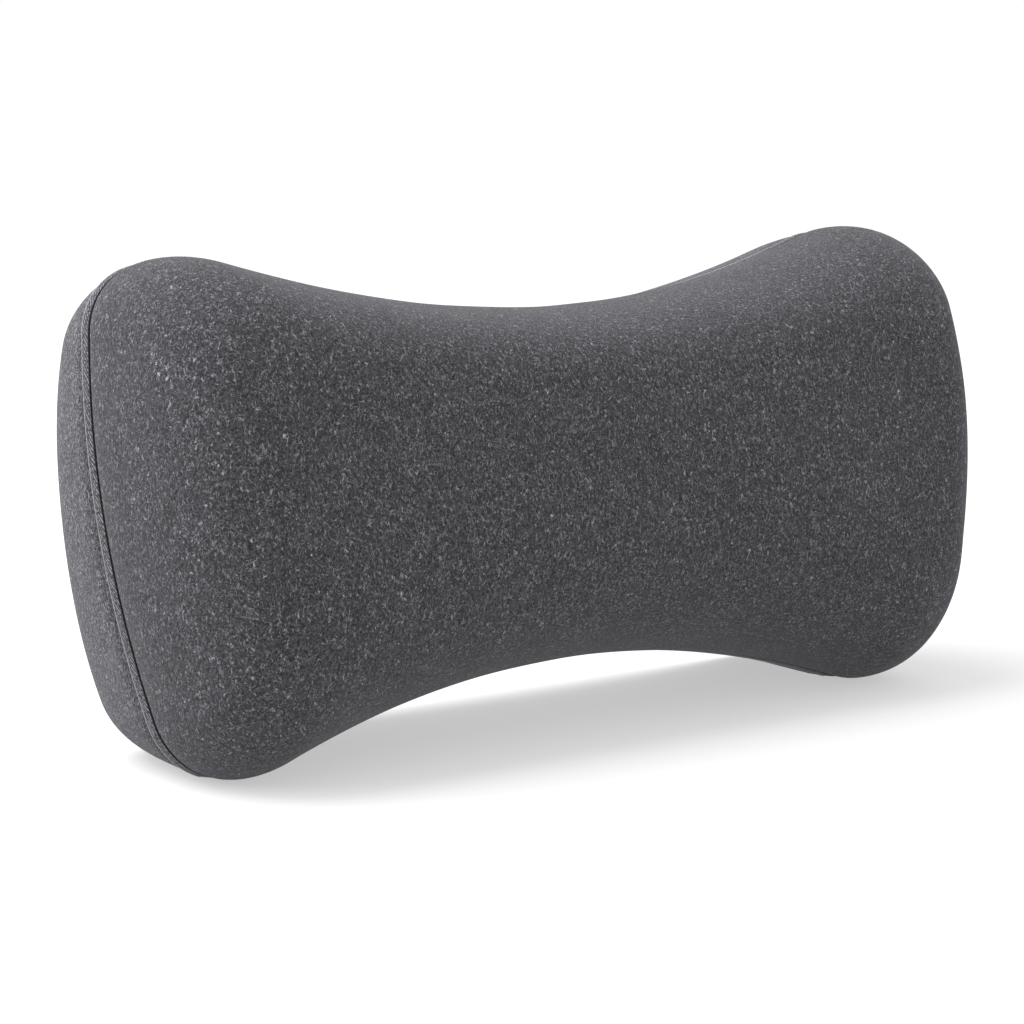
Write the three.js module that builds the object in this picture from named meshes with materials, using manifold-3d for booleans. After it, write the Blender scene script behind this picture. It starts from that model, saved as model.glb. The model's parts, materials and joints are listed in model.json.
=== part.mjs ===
// A lumbar support cushion: foam core, inner liner and a zipped knit cover.
// It stands on its two lower lobes and leans back. Millimetres, +X along the
// cushion, -Y to its front, +Z up, with the floor at z = 0.
import * as THREE from "three";
import { mergeVertices } from "three/addons/utils/BufferGeometryUtils.js";
import Module from "manifold-3d";

// Outline, seen from the front: a bow tie with round lobes and bowed ends.
const WIDTH = 400;
const HEIGHT = 199;
const WAIST = (143.5 / 199) * HEIGHT; // the waist keeps its share of the height
const CORNER_R = 31;
const END_R = 408;
const TOP_FLARE = 0.031; // extra half width, as a share, at 100 mm above the middle

// Front roll, from the front seam to the crown.
const FRONT_DEPTH = 70;
const FRONT_ROLL_X = 30;
const FRONT_ROLL_Z = 71;
const FRONT_POWER = 2.35;
const CROWN_RISE = 21; // the crown line stands this far above the middle
const CROWN_BULGE = 1.5;
const FRONT_PULL_TOP = 4; // the upper lobes' roll is drawn in this much

// Rear block, from the band to the flat back.
const BAND_DEPTH = 6;
const REAR_STEP = 0.6; // the side wall stands back from the band
const REAR_DEPTH = 46.8;
const REAR_ROLL_X = 28;
const REAR_ROLL_TOP = 16;
const REAR_ROLL_BOTTOM = 12;
const REAR_POWER = 3.4;
const REAR_PULL_TOP = 12; // how far the block's corners are drawn in at the back
const REAR_PULL_BOTTOM = 7;
const PULL_AT_BAND = 0.15; // the share of that next to the band
const WEDGE_DEG = 8.5; // the back is this far from parallel with the front seam
const LEAN_DEG = 11; // the front seam's plane leans back by this angle
const SETTLE = 2; // how far the foam flattens where it stands

// Layers, from the outside in.
const COVER_T = 2.5;
const LINER_T = 0.8;
const LAYER_GAP = 0.4;
const ZIP_ROOM = 5.4; // from the back's outer face to the liner
const SEAM_GAP = 1.4; // the sewn groove that a thread lies in
const THREAD_W = 0.8;
const THREAD_DROP = 0.9;
const FIT_GAP = 0.3; // between pieces that touch

// Zip across the back.
const ZIP_END_MARGIN = 50; // from the cushion's end to the zip's end
const ZIP_SLOT_HALF = 6; // half the opening between the folded panel edges
const TAPE_W = 14;
const TAPE_T = 0.6;
const TAPE_PAST_END = 10;
const COIL_W = 2.6;
const COIL_T = 2.2;
const CHAIN_GAP = 1.0; // between the two coils, where the slider's web runs
const TACK_L = 2;
const TACK_H = 9;
const SLIDER_L = 12;
const SLIDER_STOP = 1; // left between the slider and a bar tack
const SLIDER_NOSE_HALF = 4.9;
const SLIDER_TAIL_HALF = 4.4;
const PLATE_T = 1.0;
const FLANGE_T = 0.9;
const WEB_T = 0.4;
const WEB_L = 4;
const ARCH_W = 1.6;
const ARCH_BAR = 1.1;
const ARCH_CLEAR = 0.35;
const PULL_L = 27;
const PULL_HALF_W = 3.2;
const PULL_T = 1.2;
const PULL_EYE_L = 4.4;

// Facets. Every layer has the same steps, so that the layers nest.
const WAIST_STEPS = 5;
const CORNER_STEPS = 6;
const END_STEPS = 3;
const FRONT_STEPS = 6;
const REAR_STEPS = 5;
const ROUND_STEPS = 6;

const halfWidth = WIDTH / 2;
const halfHeight = HEIGHT / 2;
const lean = THREE.MathUtils.degToRad(LEAN_DEG);
const wedge = THREE.MathUtils.degToRad(WEDGE_DEG);
const foamInset = COVER_T + LAYER_GAP + LINER_T + LAYER_GAP;
const linerInset = COVER_T + LAYER_GAP;
const backY = BAND_DEPTH + REAR_DEPTH;

const wasm = await Module();
wasm.setup();

// ---------------------------------------------------------------- surfaces

// Points of a circle's arc, without its last point.
function arc(cx, cz, radius, from, to, steps) {
  const points = [];
  for (let i = 0; i < steps; i++) {
    const a = from + ((to - from) * i) / steps;
    points.push([cx + radius * Math.cos(a), cz + radius * Math.sin(a)]);
  }
  return points;
}

// A quarter of the outline, from the top of the waist to the end: a hollow
// waist arc, a lobe arc and a slow end arc, each tangent to the next. An inset
// keeps the three centres and changes the radii, so layers stay parallel.
function quarterOutline(inset) {
  const lobeZ = halfHeight - CORNER_R;
  const endX = halfWidth - END_R;
  const lobeX = endX + Math.sqrt((END_R - CORNER_R) ** 2 - lobeZ ** 2);
  const drop = WAIST / 2 - lobeZ;
  const waistR = (lobeX ** 2 + drop ** 2 - CORNER_R ** 2) / (2 * (CORNER_R - drop));
  const waistZ = WAIST / 2 + waistR;
  const waistEnd = Math.atan2(lobeZ - waistZ, lobeX);
  const endStart = Math.atan2(lobeZ, lobeX - endX);
  return [
    ...arc(0, waistZ, waistR + inset, -Math.PI / 2, waistEnd, WAIST_STEPS),
    ...arc(lobeX, lobeZ, CORNER_R - inset, waistEnd + Math.PI, endStart, CORNER_STEPS),
    ...arc(endX, 0, END_R - inset, endStart, 0, END_STEPS),
    [halfWidth - inset, 0],
  ];
}

// The whole outline, clockwise from the top of the waist.
function outline(inset) {
  const quarter = quarterOutline(inset);
  const back = [...quarter].reverse();
  const flip = (points, sx, sz) => points.map(([x, z]) => [sx * x, sz * z]);
  return [
    ...quarter.slice(0, -1),
    ...flip(back, 1, -1).slice(0, -1),
    ...flip(quarter, -1, -1).slice(0, -1),
    ...flip(back, -1, 1).slice(0, -1),
  ];
}

// How far a roll of the given power has turned in at depth share s, 0 to 1.
const turnIn = (s, power) => 1 - Math.max(0, 1 - s ** power) ** (1 / power);

// Depth shares that put the facets of a roll at even angles.
function rollShares(steps, power) {
  const shares = [];
  for (let i = 0; i <= steps; i++) shares.push(Math.sin((Math.PI / 2) * (i / steps)) ** (2 / power));
  return shares;
}

const flare = (x, z) => x * (1 + (TOP_FLARE * z) / 100);

// How much a point of the outline belongs to its corner, 0 to 1. The lower
// corners are drawn in only near the ends, so the lobes stand on a long patch.
function cornerShare(x, z) {
  const along = (Math.abs(x) / halfWidth) ** (z > 0 ? 4 : 8);
  return along * (Math.abs(z) / halfHeight) ** 4;
}

// The floor lies this far below the middle of the seam's plane, where the
// foam under the band has flattened.
const bandDrop = halfHeight * Math.cos(lean) + BAND_DEPTH * Math.sin(lean);
const floorDrop = bandDrop - SETTLE;

// Lifts a point to the floor's plane, set in by the layer's inset.
function settled(point, inset) {
  const height = point.z * Math.cos(lean) - point.y * Math.sin(lean);
  const lift = Math.max(0, inset - floorDrop - height);
  point.y -= lift * Math.sin(lean);
  point.z += lift * Math.cos(lean);
  return point;
}

const settledRing = (ring, inset) => ring.map((point) => settled(point, inset));

// A ring of the front roll at depth share s, for a layer at the given inset.
function frontRing(s, inset) {
  const turned = turnIn(s, FRONT_POWER);
  const start = SEAM_GAP / 2;
  const y = -start - (FRONT_DEPTH - inset - start) * s;
  const squeeze = 1 - (FRONT_ROLL_Z / halfHeight) * turned;
  const narrow = 1 - (FRONT_ROLL_X / halfWidth) * turned;
  const drawn = (z) => (z > 0 ? FRONT_PULL_TOP * (1 - (1 - s) ** 3) : 0);
  const ring = outline(inset).map(([x, z]) => {
    const left = 1 - (drawn(z) * cornerShare(x, z)) / Math.hypot(x, z);
    const ringZ = CROWN_RISE + (z * left - CROWN_RISE) * squeeze;
    return new THREE.Vector3(flare(x, z) * left * narrow, y, ringZ);
  });
  return settledRing(ring, inset);
}

// A ring of the rear block before it settles: the underside rises with depth
// so that the leaning block follows the floor.
function freeRearRing(s, inset, depthInset) {
  const turned = turnIn(s, REAR_POWER);
  return outline(inset).map(([x, z]) => {
    const drawn = (z > 0 ? REAR_PULL_TOP : REAR_PULL_BOTTOM) * (PULL_AT_BAND + (1 - PULL_AT_BAND) * s);
    const pull = (drawn * cornerShare(x, z)) / Math.hypot(x, z);
    const stepX = (REAR_STEP + REAR_ROLL_X * turned) / halfWidth;
    const rollZ = z > 0 ? REAR_ROLL_TOP : REAR_ROLL_BOTTOM;
    const stepZ = (REAR_STEP + rollZ * turned) / halfHeight;
    const ringZ = z * (1 - stepZ - pull);
    const climb = Math.max(0, -ringZ / halfHeight) * Math.tan(lean);
    const full = REAR_DEPTH - depthInset - Math.tan(wedge) * ringZ;
    const deep = (s * full) / (1 + s * Math.tan(wedge) * climb);
    const ringX = flare(x, z) * (1 - stepX - pull);
    return new THREE.Vector3(ringX, BAND_DEPTH + deep, ringZ + climb * deep);
  });
}

const rearRing = (s, inset, depth) => settledRing(freeRearRing(s, inset, depth), inset);

// A plain ring of the outline at one depth.
function flatRing(y, inset) {
  const ring = outline(inset).map(([x, z]) => new THREE.Vector3(flare(x, z), y, z));
  return settledRing(ring, inset);
}

// ------------------------------------------------------------------ solids

// Turns a closed triangle list the right way out.
function closedGeometry(points, faces) {
  let volume = 0;
  for (let i = 0; i < faces.length; i += 3) {
    const [a, b, c] = [points[faces[i]], points[faces[i + 1]], points[faces[i + 2]]];
    volume += a.dot(b.clone().cross(c));
  }
  if (volume < 0) faces.reverse();
  const geometry = new THREE.BufferGeometry().setFromPoints(points);
  geometry.setIndex(faces);
  geometry.computeVertexNormals();
  return geometry;
}

// Skins rings of equal length. Two poles close the ends; without poles the
// last ring joins the first, as in a band.
function loft(rings, poles) {
  const n = rings[0].length;
  const points = rings.flat();
  const faces = [];
  const spans = poles ? rings.length - 1 : rings.length;
  for (let r = 0; r < spans; r++) {
    const near = r * n;
    const far = ((r + 1) % rings.length) * n;
    for (let i = 0; i < n; i++) {
      const j = (i + 1) % n;
      faces.push(near + i, far + i, far + j, near + i, far + j, near + j);
    }
  }
  if (poles) {
    const first = points.push(poles[0]) - 1;
    const last = points.push(poles[1]) - 1;
    const end = (rings.length - 1) * n;
    for (let i = 0; i < n; i++) {
      const j = (i + 1) % n;
      faces.push(first, i, j, last, end + j, end + i);
    }
  }
  return closedGeometry(points, faces);
}

// Moves between a three.js geometry and a manifold-3d solid.
function toSolid(geometry) {
  const bare = geometry.clone();
  bare.deleteAttribute("normal");
  bare.deleteAttribute("uv");
  const merged = mergeVertices(bare, 1e-4);
  const vertProperties = merged.attributes.position.array;
  const triVerts = new Uint32Array(merged.index.array);
  return new wasm.Manifold(new wasm.Mesh({ numProp: 3, vertProperties, triVerts }));
}

function toGeometry(solid) {
  const mesh = solid.getMesh();
  const geometry = new THREE.BufferGeometry();
  geometry.setAttribute("position", new THREE.BufferAttribute(mesh.vertProperties, 3));
  geometry.setIndex(new THREE.BufferAttribute(mesh.triVerts, 1));
  geometry.computeVertexNormals();
  return geometry;
}

// A box between two corners.
function boxBetween(x0, x1, y0, y1, z0, z1) {
  const box = new THREE.BoxGeometry(x1 - x0, y1 - y0, z1 - z0);
  return box.translate((x0 + x1) / 2, (y0 + y1) / 2, (z0 + z1) / 2);
}

// A flat outline in X and Z, given thickness from y0 up to y1.
function plate(shape, y0, y1) {
  const options = { depth: y1 - y0, bevelEnabled: false, curveSegments: ROUND_STEPS };
  const slab = new THREE.ExtrudeGeometry(shape, options);
  return slab.rotateX(Math.PI / 2).translate(0, y1, 0);
}

// --------------------------------------------------------------- materials

function finish(color, roughness, metalness = 0) {
  return new THREE.MeshStandardMaterial({ color, roughness, metalness });
}

const knit = finish(0x4d4f53, 0.95);
const bandCloth = finish(0x5a5b60, 0.95);
const thread = finish(0x1d1d20, 0.8);
const linerCloth = finish(0xd8d8d4, 0.9);
const softFoam = finish(0xe9e4d2, 0.95);
const firmFoam = finish(0xc9d0d6, 0.95);
const tapeCloth = finish(0x2b2c30, 0.9);
const coilNylon = finish(0x26272a, 0.5);
const zincAlloy = finish(0x6a6c70, 0.35, 0.9);

const leaning = new THREE.Group();
leaning.rotation.x = -lean;
const backFace = new THREE.Group();
backFace.position.y = backY;
backFace.rotation.x = wedge;
leaning.add(backFace);

// Names a piece and puts it in its group.
function add(group, name, geometry, material) {
  const mesh = new THREE.Mesh(geometry, material);
  mesh.name = name;
  group.add(mesh);
  return mesh;
}

// ----------------------------------------------------------- cover and core

// A point in the middle of the crown, for a layer at the given inset.
const crownPole = (inset) => new THREE.Vector3(0, inset - FRONT_DEPTH - CROWN_BULGE, CROWN_RISE);

// A cup over the front roll: outside from crown to rim, then inside back again.
function frontCup(outer, thickness) {
  const inner = outer + thickness;
  const shares = rollShares(FRONT_STEPS, FRONT_POWER);
  const rings = [
    ...[...shares].reverse().map((s) => frontRing(s, outer)),
    ...shares.map((s) => frontRing(s, inner)),
  ];
  return loft(rings, [crownPole(outer), crownPole(inner)]);
}

// A closed band of thread that lies in a sewn groove.
function threadLoop(ringAt) {
  const near = THREAD_DROP;
  const far = THREAD_DROP + THREAD_W;
  return loft([ringAt(near, 0), ringAt(near, THREAD_W), ringAt(far, THREAD_W), ringAt(far, 0)]);
}

function frontCover() {
  return frontCup(0, COVER_T);
}

function edgeBand() {
  const start = SEAM_GAP / 2;
  const end = BAND_DEPTH - FIT_GAP / 2;
  const corners = [[start, 0], [end, 0], [end, COVER_T], [start, COVER_T]];
  return loft(corners.map(([y, inset]) => flatRing(y, inset)));
}

function rearGusset() {
  const start = BAND_DEPTH + FIT_GAP / 2;
  const shares = rollShares(REAR_STEPS, REAR_POWER);
  const inside = shares.slice(0, -1).reverse();
  const wallRing = (s, inset) => {
    const ring = freeRearRing(s, inset, inset).map((p) => p.setY(Math.max(p.y, start)));
    return settledRing(ring, inset);
  };
  const rings = [
    ...shares.map((s) => wallRing(s, 0)),
    rearRing(1, 0, COVER_T),
    ...inside.map((s) => wallRing(s, COVER_T)),
  ];
  return loft(rings);
}

function frontThread() {
  const half = THREAD_W / 2;
  return threadLoop((inset, along) => flatRing(along - half, inset));
}

// The back seam's thread lies just under the flat back, inside the side wall.
function rearThread() {
  const edge = SEAM_GAP / 2 - THREAD_W / 2;
  return threadLoop((depth, along) => rearRing(1, edge + along, depth));
}

function linerFront() {
  return frontCup(linerInset, LINER_T);
}

function linerRear() {
  const start = -SEAM_GAP / 2 + FIT_GAP;
  const inner = linerInset + LINER_T;
  const shares = rollShares(REAR_STEPS, REAR_POWER);
  const rings = [
    ...[...shares].reverse().map((s) => rearRing(s, linerInset, ZIP_ROOM)),
    flatRing(start, linerInset),
    flatRing(start, inner),
    ...shares.map((s) => rearRing(s, inner, ZIP_ROOM + LINER_T)),
  ];
  return loft(rings, [backPole(ZIP_ROOM), backPole(ZIP_ROOM + LINER_T)]);
}

const backPole = (depth) => new THREE.Vector3(0, backY - depth, 0);

function memoryFoam() {
  const rings = rollShares(FRONT_STEPS, FRONT_POWER).map((s) => frontRing(s, foamInset));
  const heel = new THREE.Vector3(0, -SEAM_GAP / 2, 0);
  return loft(rings, [heel, crownPole(foamInset)]);
}

function supportFoam() {
  const start = -SEAM_GAP / 2 + FIT_GAP;
  const depth = ZIP_ROOM + LINER_T + LAYER_GAP;
  const rings = [
    flatRing(start, foamInset),
    ...rollShares(REAR_STEPS, REAR_POWER).map((s) => rearRing(s, foamInset, depth)),
  ];
  return loft(rings, [new THREE.Vector3(0, start, 0), backPole(depth)]);
}

// ------------------------------------------------------------- back panels

const zipHalf = halfWidth - ZIP_END_MARGIN;

// One back panel, above (side 1) or below (side -1) the zip line. It lies in
// the back face's own plane, with its outer face at y = 0.
function backPanel(side) {
  const ring = rearRing(1, SEAM_GAP, 0);
  const shape = new THREE.Shape(ring.map((p) => new THREE.Vector2(p.x, p.z / Math.cos(wedge))));
  const whole = toSolid(plate(shape, -COVER_T, 0));
  const near = (side * FIT_GAP) / 2;
  const far = side * HEIGHT;
  const keep = boxBetween(-WIDTH, WIDTH, -HEIGHT, HEIGHT, Math.min(near, far), Math.max(near, far));
  const slotZ = ZIP_SLOT_HALF;
  const slot = boxBetween(-zipHalf, zipHalf, -HEIGHT, HEIGHT, -slotZ, slotZ);
  return toGeometry(whole.intersect(toSolid(keep)).subtract(toSolid(slot)));
}

// --------------------------------------------------------------------- zip

const tapeTop = -COVER_T - FIT_GAP;
const tapeBottom = tapeTop - TAPE_T;
const coilBottom = tapeTop + FIT_GAP;
const coilTop = coilBottom + COIL_T;
const plateBottom = coilTop + FIT_GAP;
const plateTop = plateBottom + PLATE_T;
const coilHalf = zipHalf - TACK_L - FIT_GAP;
const sliderX = coilHalf - SLIDER_L / 2 - SLIDER_STOP;

function zipTape(side) {
  const inner = CHAIN_GAP / 2;
  const length = zipHalf + TAPE_PAST_END;
  const z = [side * inner, side * (inner + TAPE_W)].sort((a, b) => a - b);
  return boxBetween(-length, length, tapeBottom, tapeTop, ...z);
}

// The coil's outer shape: a bar with its two outer edges rounded off.
function zipCoil(side) {
  const edge = COIL_T / 4;
  const profile = new THREE.Shape();
  profile.moveTo(0, coilBottom);
  profile.lineTo(COIL_W - edge, coilBottom);
  profile.lineTo(COIL_W, coilBottom + edge);
  profile.lineTo(COIL_W, coilTop - edge);
  profile.lineTo(COIL_W - edge, coilTop);
  profile.lineTo(0, coilTop);
  const bar = new THREE.ExtrudeGeometry(profile, { depth: 2 * coilHalf, bevelEnabled: false });
  bar.translate(CHAIN_GAP / 2, 0, -coilHalf);
  return bar.rotateY((side * -Math.PI) / 2);
}

function barTack(side) {
  const x = [side * (zipHalf - TACK_L), side * zipHalf].sort((a, b) => a - b);
  return boxBetween(...x, coilBottom, coilBottom + COIL_T / 2, -TACK_H / 2, TACK_H / 2);
}

// A slider plate: wide at the nose, narrower at the tail, with round corners.
function sliderPlate(y0, y1) {
  const half = SLIDER_L / 2;
  const round = SLIDER_TAIL_HALF / 3;
  const shape = new THREE.Shape();
  shape.moveTo(-half, -SLIDER_TAIL_HALF + round);
  shape.quadraticCurveTo(-half, -SLIDER_TAIL_HALF, -half + round, -SLIDER_TAIL_HALF);
  shape.lineTo(half - round, -SLIDER_NOSE_HALF);
  shape.quadraticCurveTo(half, -SLIDER_NOSE_HALF, half, -SLIDER_NOSE_HALF + round);
  shape.lineTo(half, SLIDER_NOSE_HALF - round);
  shape.quadraticCurveTo(half, SLIDER_NOSE_HALF, half - round, SLIDER_NOSE_HALF);
  shape.lineTo(-half + round, SLIDER_TAIL_HALF);
  shape.quadraticCurveTo(-half, SLIDER_TAIL_HALF, -half, SLIDER_TAIL_HALF - round);
  return toSolid(plate(shape, y0, y1));
}

// The pull's bar turns under the arch with its axis this far above the chain.
const hingeY = plateTop + FIT_GAP + PULL_T / 2;
const archInside = PULL_T / 2 + ARCH_CLEAR;

// The arch that holds the pull: a bridge along the slider on two feet.
function sliderArch() {
  const foot = archInside + ARCH_BAR;
  const top = hingeY + archInside;
  const shape = new THREE.Shape();
  const sunk = plateTop - PLATE_T / 2;
  shape.moveTo(-foot - ARCH_BAR, sunk);
  shape.lineTo(-foot, top + ARCH_BAR / 2);
  shape.quadraticCurveTo(-foot, top + ARCH_BAR, -archInside, top + ARCH_BAR);
  shape.lineTo(archInside, top + ARCH_BAR);
  shape.quadraticCurveTo(foot, top + ARCH_BAR, foot, top + ARCH_BAR / 2);
  shape.lineTo(foot + ARCH_BAR, sunk);
  shape.lineTo(archInside, sunk);
  shape.lineTo(archInside, top);
  shape.lineTo(-archInside, top);
  shape.lineTo(-archInside, sunk);
  const options = { depth: ARCH_W, bevelEnabled: false, curveSegments: ROUND_STEPS };
  return toSolid(new THREE.ExtrudeGeometry(shape, options).translate(0, 0, -ARCH_W / 2));
}

// Two plates joined by a thin web between the coils, with side flanges.
function zipSlider() {
  const bottomTop = tapeBottom - FIT_GAP;
  const half = SLIDER_L / 2;
  let body = sliderPlate(plateBottom, plateTop);
  body = body.add(sliderPlate(bottomTop - PLATE_T, bottomTop));
  const web = boxBetween(half - WEB_L, half - FIT_GAP, bottomTop - PLATE_T / 2,
    plateTop - PLATE_T / 2, -WEB_T / 2, WEB_T / 2);
  body = body.add(toSolid(web));
  const inner = CHAIN_GAP / 2 + COIL_W + FIT_GAP;
  for (const side of [-1, 1]) {
    const z = [side * inner, side * (inner + FLANGE_T)].sort((a, b) => a - b);
    const flange = boxBetween(-half * 0.75, half * 0.75, coilBottom, plateTop - PLATE_T / 2, ...z);
    body = body.add(toSolid(flange));
  }
  return toGeometry(body.add(sliderArch()));
}

// A flat pull with a round bar at its eye. It lies along -X from the hinge.
function pullTab() {
  const round = PULL_HALF_W / 2;
  const bar = PULL_T / 2;
  const eyeHalf = ARCH_W / 2 + ARCH_CLEAR;
  const shape = new THREE.Shape();
  shape.moveTo(0, -PULL_HALF_W * 0.75);
  shape.lineTo(0, PULL_HALF_W * 0.75);
  shape.lineTo(-PULL_EYE_L, PULL_HALF_W * 0.75);
  shape.lineTo(-PULL_EYE_L * 2, PULL_HALF_W);
  shape.lineTo(-PULL_L + round, PULL_HALF_W);
  shape.quadraticCurveTo(-PULL_L, PULL_HALF_W, -PULL_L, PULL_HALF_W - round);
  shape.lineTo(-PULL_L, -PULL_HALF_W + round);
  shape.quadraticCurveTo(-PULL_L, -PULL_HALF_W, -PULL_L + round, -PULL_HALF_W);
  shape.lineTo(-PULL_EYE_L * 2, -PULL_HALF_W);
  shape.lineTo(-PULL_EYE_L, -PULL_HALF_W * 0.75);
  const eye = boxBetween(-PULL_EYE_L - bar, bar * 2, -PULL_T, PULL_T, -eyeHalf, eyeHalf);
  const rod = new THREE.CylinderGeometry(bar, bar, PULL_HALF_W * 1.5, 2 * ROUND_STEPS);
  const leaf = toSolid(plate(shape, -bar, bar)).subtract(toSolid(eye));
  return toGeometry(leaf.add(toSolid(rod.rotateX(Math.PI / 2))));
}

// ---------------------------------------------------------------- assembly

add(leaning, "front_cover", frontCover(), knit);
add(leaning, "edge_band", edgeBand(), bandCloth);
add(leaning, "rear_gusset", rearGusset(), knit);
add(leaning, "front_seam_thread", frontThread(), thread);
add(leaning, "rear_seam_thread", rearThread(), thread);
add(leaning, "liner_front", linerFront(), linerCloth);
add(leaning, "liner_rear", linerRear(), linerCloth);
add(leaning, "memory_foam_pad", memoryFoam(), softFoam);
add(leaning, "support_foam_base", supportFoam(), firmFoam);

for (const [side, word] of [[1, "upper"], [-1, "lower"]]) {
  add(backFace, "rear_panel_" + word, backPanel(side), knit);
  add(backFace, "zip_tape_" + word, zipTape(side), tapeCloth);
  add(backFace, "zip_coil_" + word, zipCoil(side), coilNylon);
}
for (const [side, word] of [[1, "right"], [-1, "left"]]) {
  add(backFace, "zip_bar_tack_" + word, barTack(side), thread);
}
add(backFace, "zip_slider", zipSlider(), zincAlloy).position.x = sliderX;
add(backFace, "zip_pull_tab", pullTab(), zincAlloy).position.set(sliderX, hingeY, 0);

// Stands the cushion on the floor, with the middle of its box over the origin.
const cushion = new THREE.Group();
cushion.add(leaning);
const box = new THREE.Box3().setFromObject(cushion, true);
leaning.position.set(-(box.min.x + box.max.x) / 2, -(box.min.y + box.max.y) / 2, -box.min.z);

export default cushion;
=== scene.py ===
"""A bow-tie lumbar support cushion: knit cover with a sewn band, zipped back, liner and two foams.

The cover's panels are worked out as surfaces of two parameters over the same outline and rolls
that the solids have, and the zip, its stitches and the threads are real small shapes.
Lengths are in metres, +X runs along the cushion, -Y to its front and +Z up.
"""
from __future__ import annotations

import json
import logging
import math
from dataclasses import dataclass, field
from enum import Enum
from typing import Optional, Sequence, Tuple

import bpy
import numpy as np
from mathutils import Matrix, Vector

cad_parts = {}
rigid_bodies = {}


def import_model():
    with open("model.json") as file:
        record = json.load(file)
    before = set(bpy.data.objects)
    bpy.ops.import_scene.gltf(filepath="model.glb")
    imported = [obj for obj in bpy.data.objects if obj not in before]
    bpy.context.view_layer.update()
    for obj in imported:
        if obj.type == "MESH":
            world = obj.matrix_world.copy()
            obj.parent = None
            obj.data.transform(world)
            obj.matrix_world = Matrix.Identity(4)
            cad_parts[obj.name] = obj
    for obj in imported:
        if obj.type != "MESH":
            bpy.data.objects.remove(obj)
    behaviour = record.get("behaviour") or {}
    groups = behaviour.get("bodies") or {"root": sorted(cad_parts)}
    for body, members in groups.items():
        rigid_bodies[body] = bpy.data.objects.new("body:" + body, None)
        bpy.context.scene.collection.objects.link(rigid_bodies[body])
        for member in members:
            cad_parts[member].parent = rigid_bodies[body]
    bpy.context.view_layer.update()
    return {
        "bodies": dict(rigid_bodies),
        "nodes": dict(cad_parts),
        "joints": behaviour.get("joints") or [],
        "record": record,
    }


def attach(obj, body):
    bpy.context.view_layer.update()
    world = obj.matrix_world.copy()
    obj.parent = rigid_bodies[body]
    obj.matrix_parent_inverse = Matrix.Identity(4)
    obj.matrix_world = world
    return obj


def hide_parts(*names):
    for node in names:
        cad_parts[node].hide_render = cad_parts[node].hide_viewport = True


LOG = logging.getLogger("lumbar_cushion")
MM = 0.001

Array = np.ndarray
Colour = Tuple[float, float, float]

KNIT_SHINE = {
    "Sheen_Roughness": 0.45,
    "Sheen_Tint": (0.78, 0.78, 0.84, 1.0),
    "Specular_IOR_Level": 0.15,
}
KNIT_CLOTH = {
    "quality": 6,
    "mass": 0.25,
    "tension_stiffness": 12.0,
    "compression_stiffness": 12.0,
    "shear_stiffness": 6.0,
    "bending_stiffness": 0.5,
    "use_pressure": True,
    "uniform_pressure_force": 4.0,
}
WHITE = (1.0, 1.0, 1.0, 1.0)
RING = 6
RING_CAP = np.array([[0, 1, 2, 3], [0, 3, 4, 5]])
FIT_HALF = 0.15 * MM


class Side(Enum):
    """The two halves of the zipped back."""

    UPPER = 1
    LOWER = -1

    @property
    def word(self) -> str:
        """The half's name, as the solids carry it."""
        return self.name.lower()


# ------------------------------------------------------------------ mesh tools


def lattice(rows: int, columns: int, close_rows: bool, close_columns: bool) -> Tuple[Array, Array]:
    """Joins a grid of points with four-sided faces.

    Args:
        rows: Points along the first parameter.
        columns: Points along the second parameter.
        close_rows: The last row joins the first.
        close_columns: The last column joins the first.

    Returns:
        The faces as point numbers, and each corner's row and column before wrapping.
    """
    first = np.arange(rows if close_rows else rows - 1)
    second = np.arange(columns if close_columns else columns - 1)
    i, j = np.meshgrid(first, second, indexing="ij")
    corners = ((i, j), (i + 1, j), (i + 1, j + 1), (i, j + 1))
    faces = np.stack([(a % rows) * columns + b % columns for a, b in corners], axis=-1)
    steps = np.stack([np.stack(corner, axis=-1) for corner in corners], axis=2)
    return faces.reshape(-1, 4), steps.reshape(-1, 4, 2)


def tube_faces(steps: int) -> Array:
    """Faces of a tube of six-point rings, closed at both ends."""
    faces, _ = lattice(steps, RING, False, True)
    return np.concatenate((faces, RING_CAP[:, ::-1], RING_CAP + (steps - 1) * RING))


def run_lengths(places: Array) -> Array:
    """The length run so far at each point of a line."""
    return np.concatenate(([0.0], np.cumsum(np.linalg.norm(np.diff(places, axis=0), axis=1))))


def linked(name: str, data: bpy.types.ID) -> bpy.types.Object:
    """Puts data into the scene as an object at the origin."""
    made = bpy.data.objects.new(name, data)
    bpy.context.scene.collection.objects.link(made)
    return made


def enclosed_volume(points: Array, faces: Array) -> float:
    """The signed volume inside closed faces: a sixth of the sum of a . (b x c) over triangles."""
    a, b, c, d = (points[faces[:, k]] for k in range(4))
    first = np.einsum("ij,ij->i", a, np.cross(b, c)).sum()
    second = np.einsum("ij,ij->i", a, np.cross(c, d)).sum()
    return float(first + second) / 6.0


def welded(points: Array, faces: Array, reach: float = 1e-4 * MM) -> Tuple[Array, Array]:
    """Makes points that share a place, to within reach, one point."""
    keys = np.round(points / reach).astype(np.int64)
    _, index, inverse = np.unique(keys, axis=0, return_index=True, return_inverse=True)
    return points[index], inverse.reshape(-1)[faces]


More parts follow.
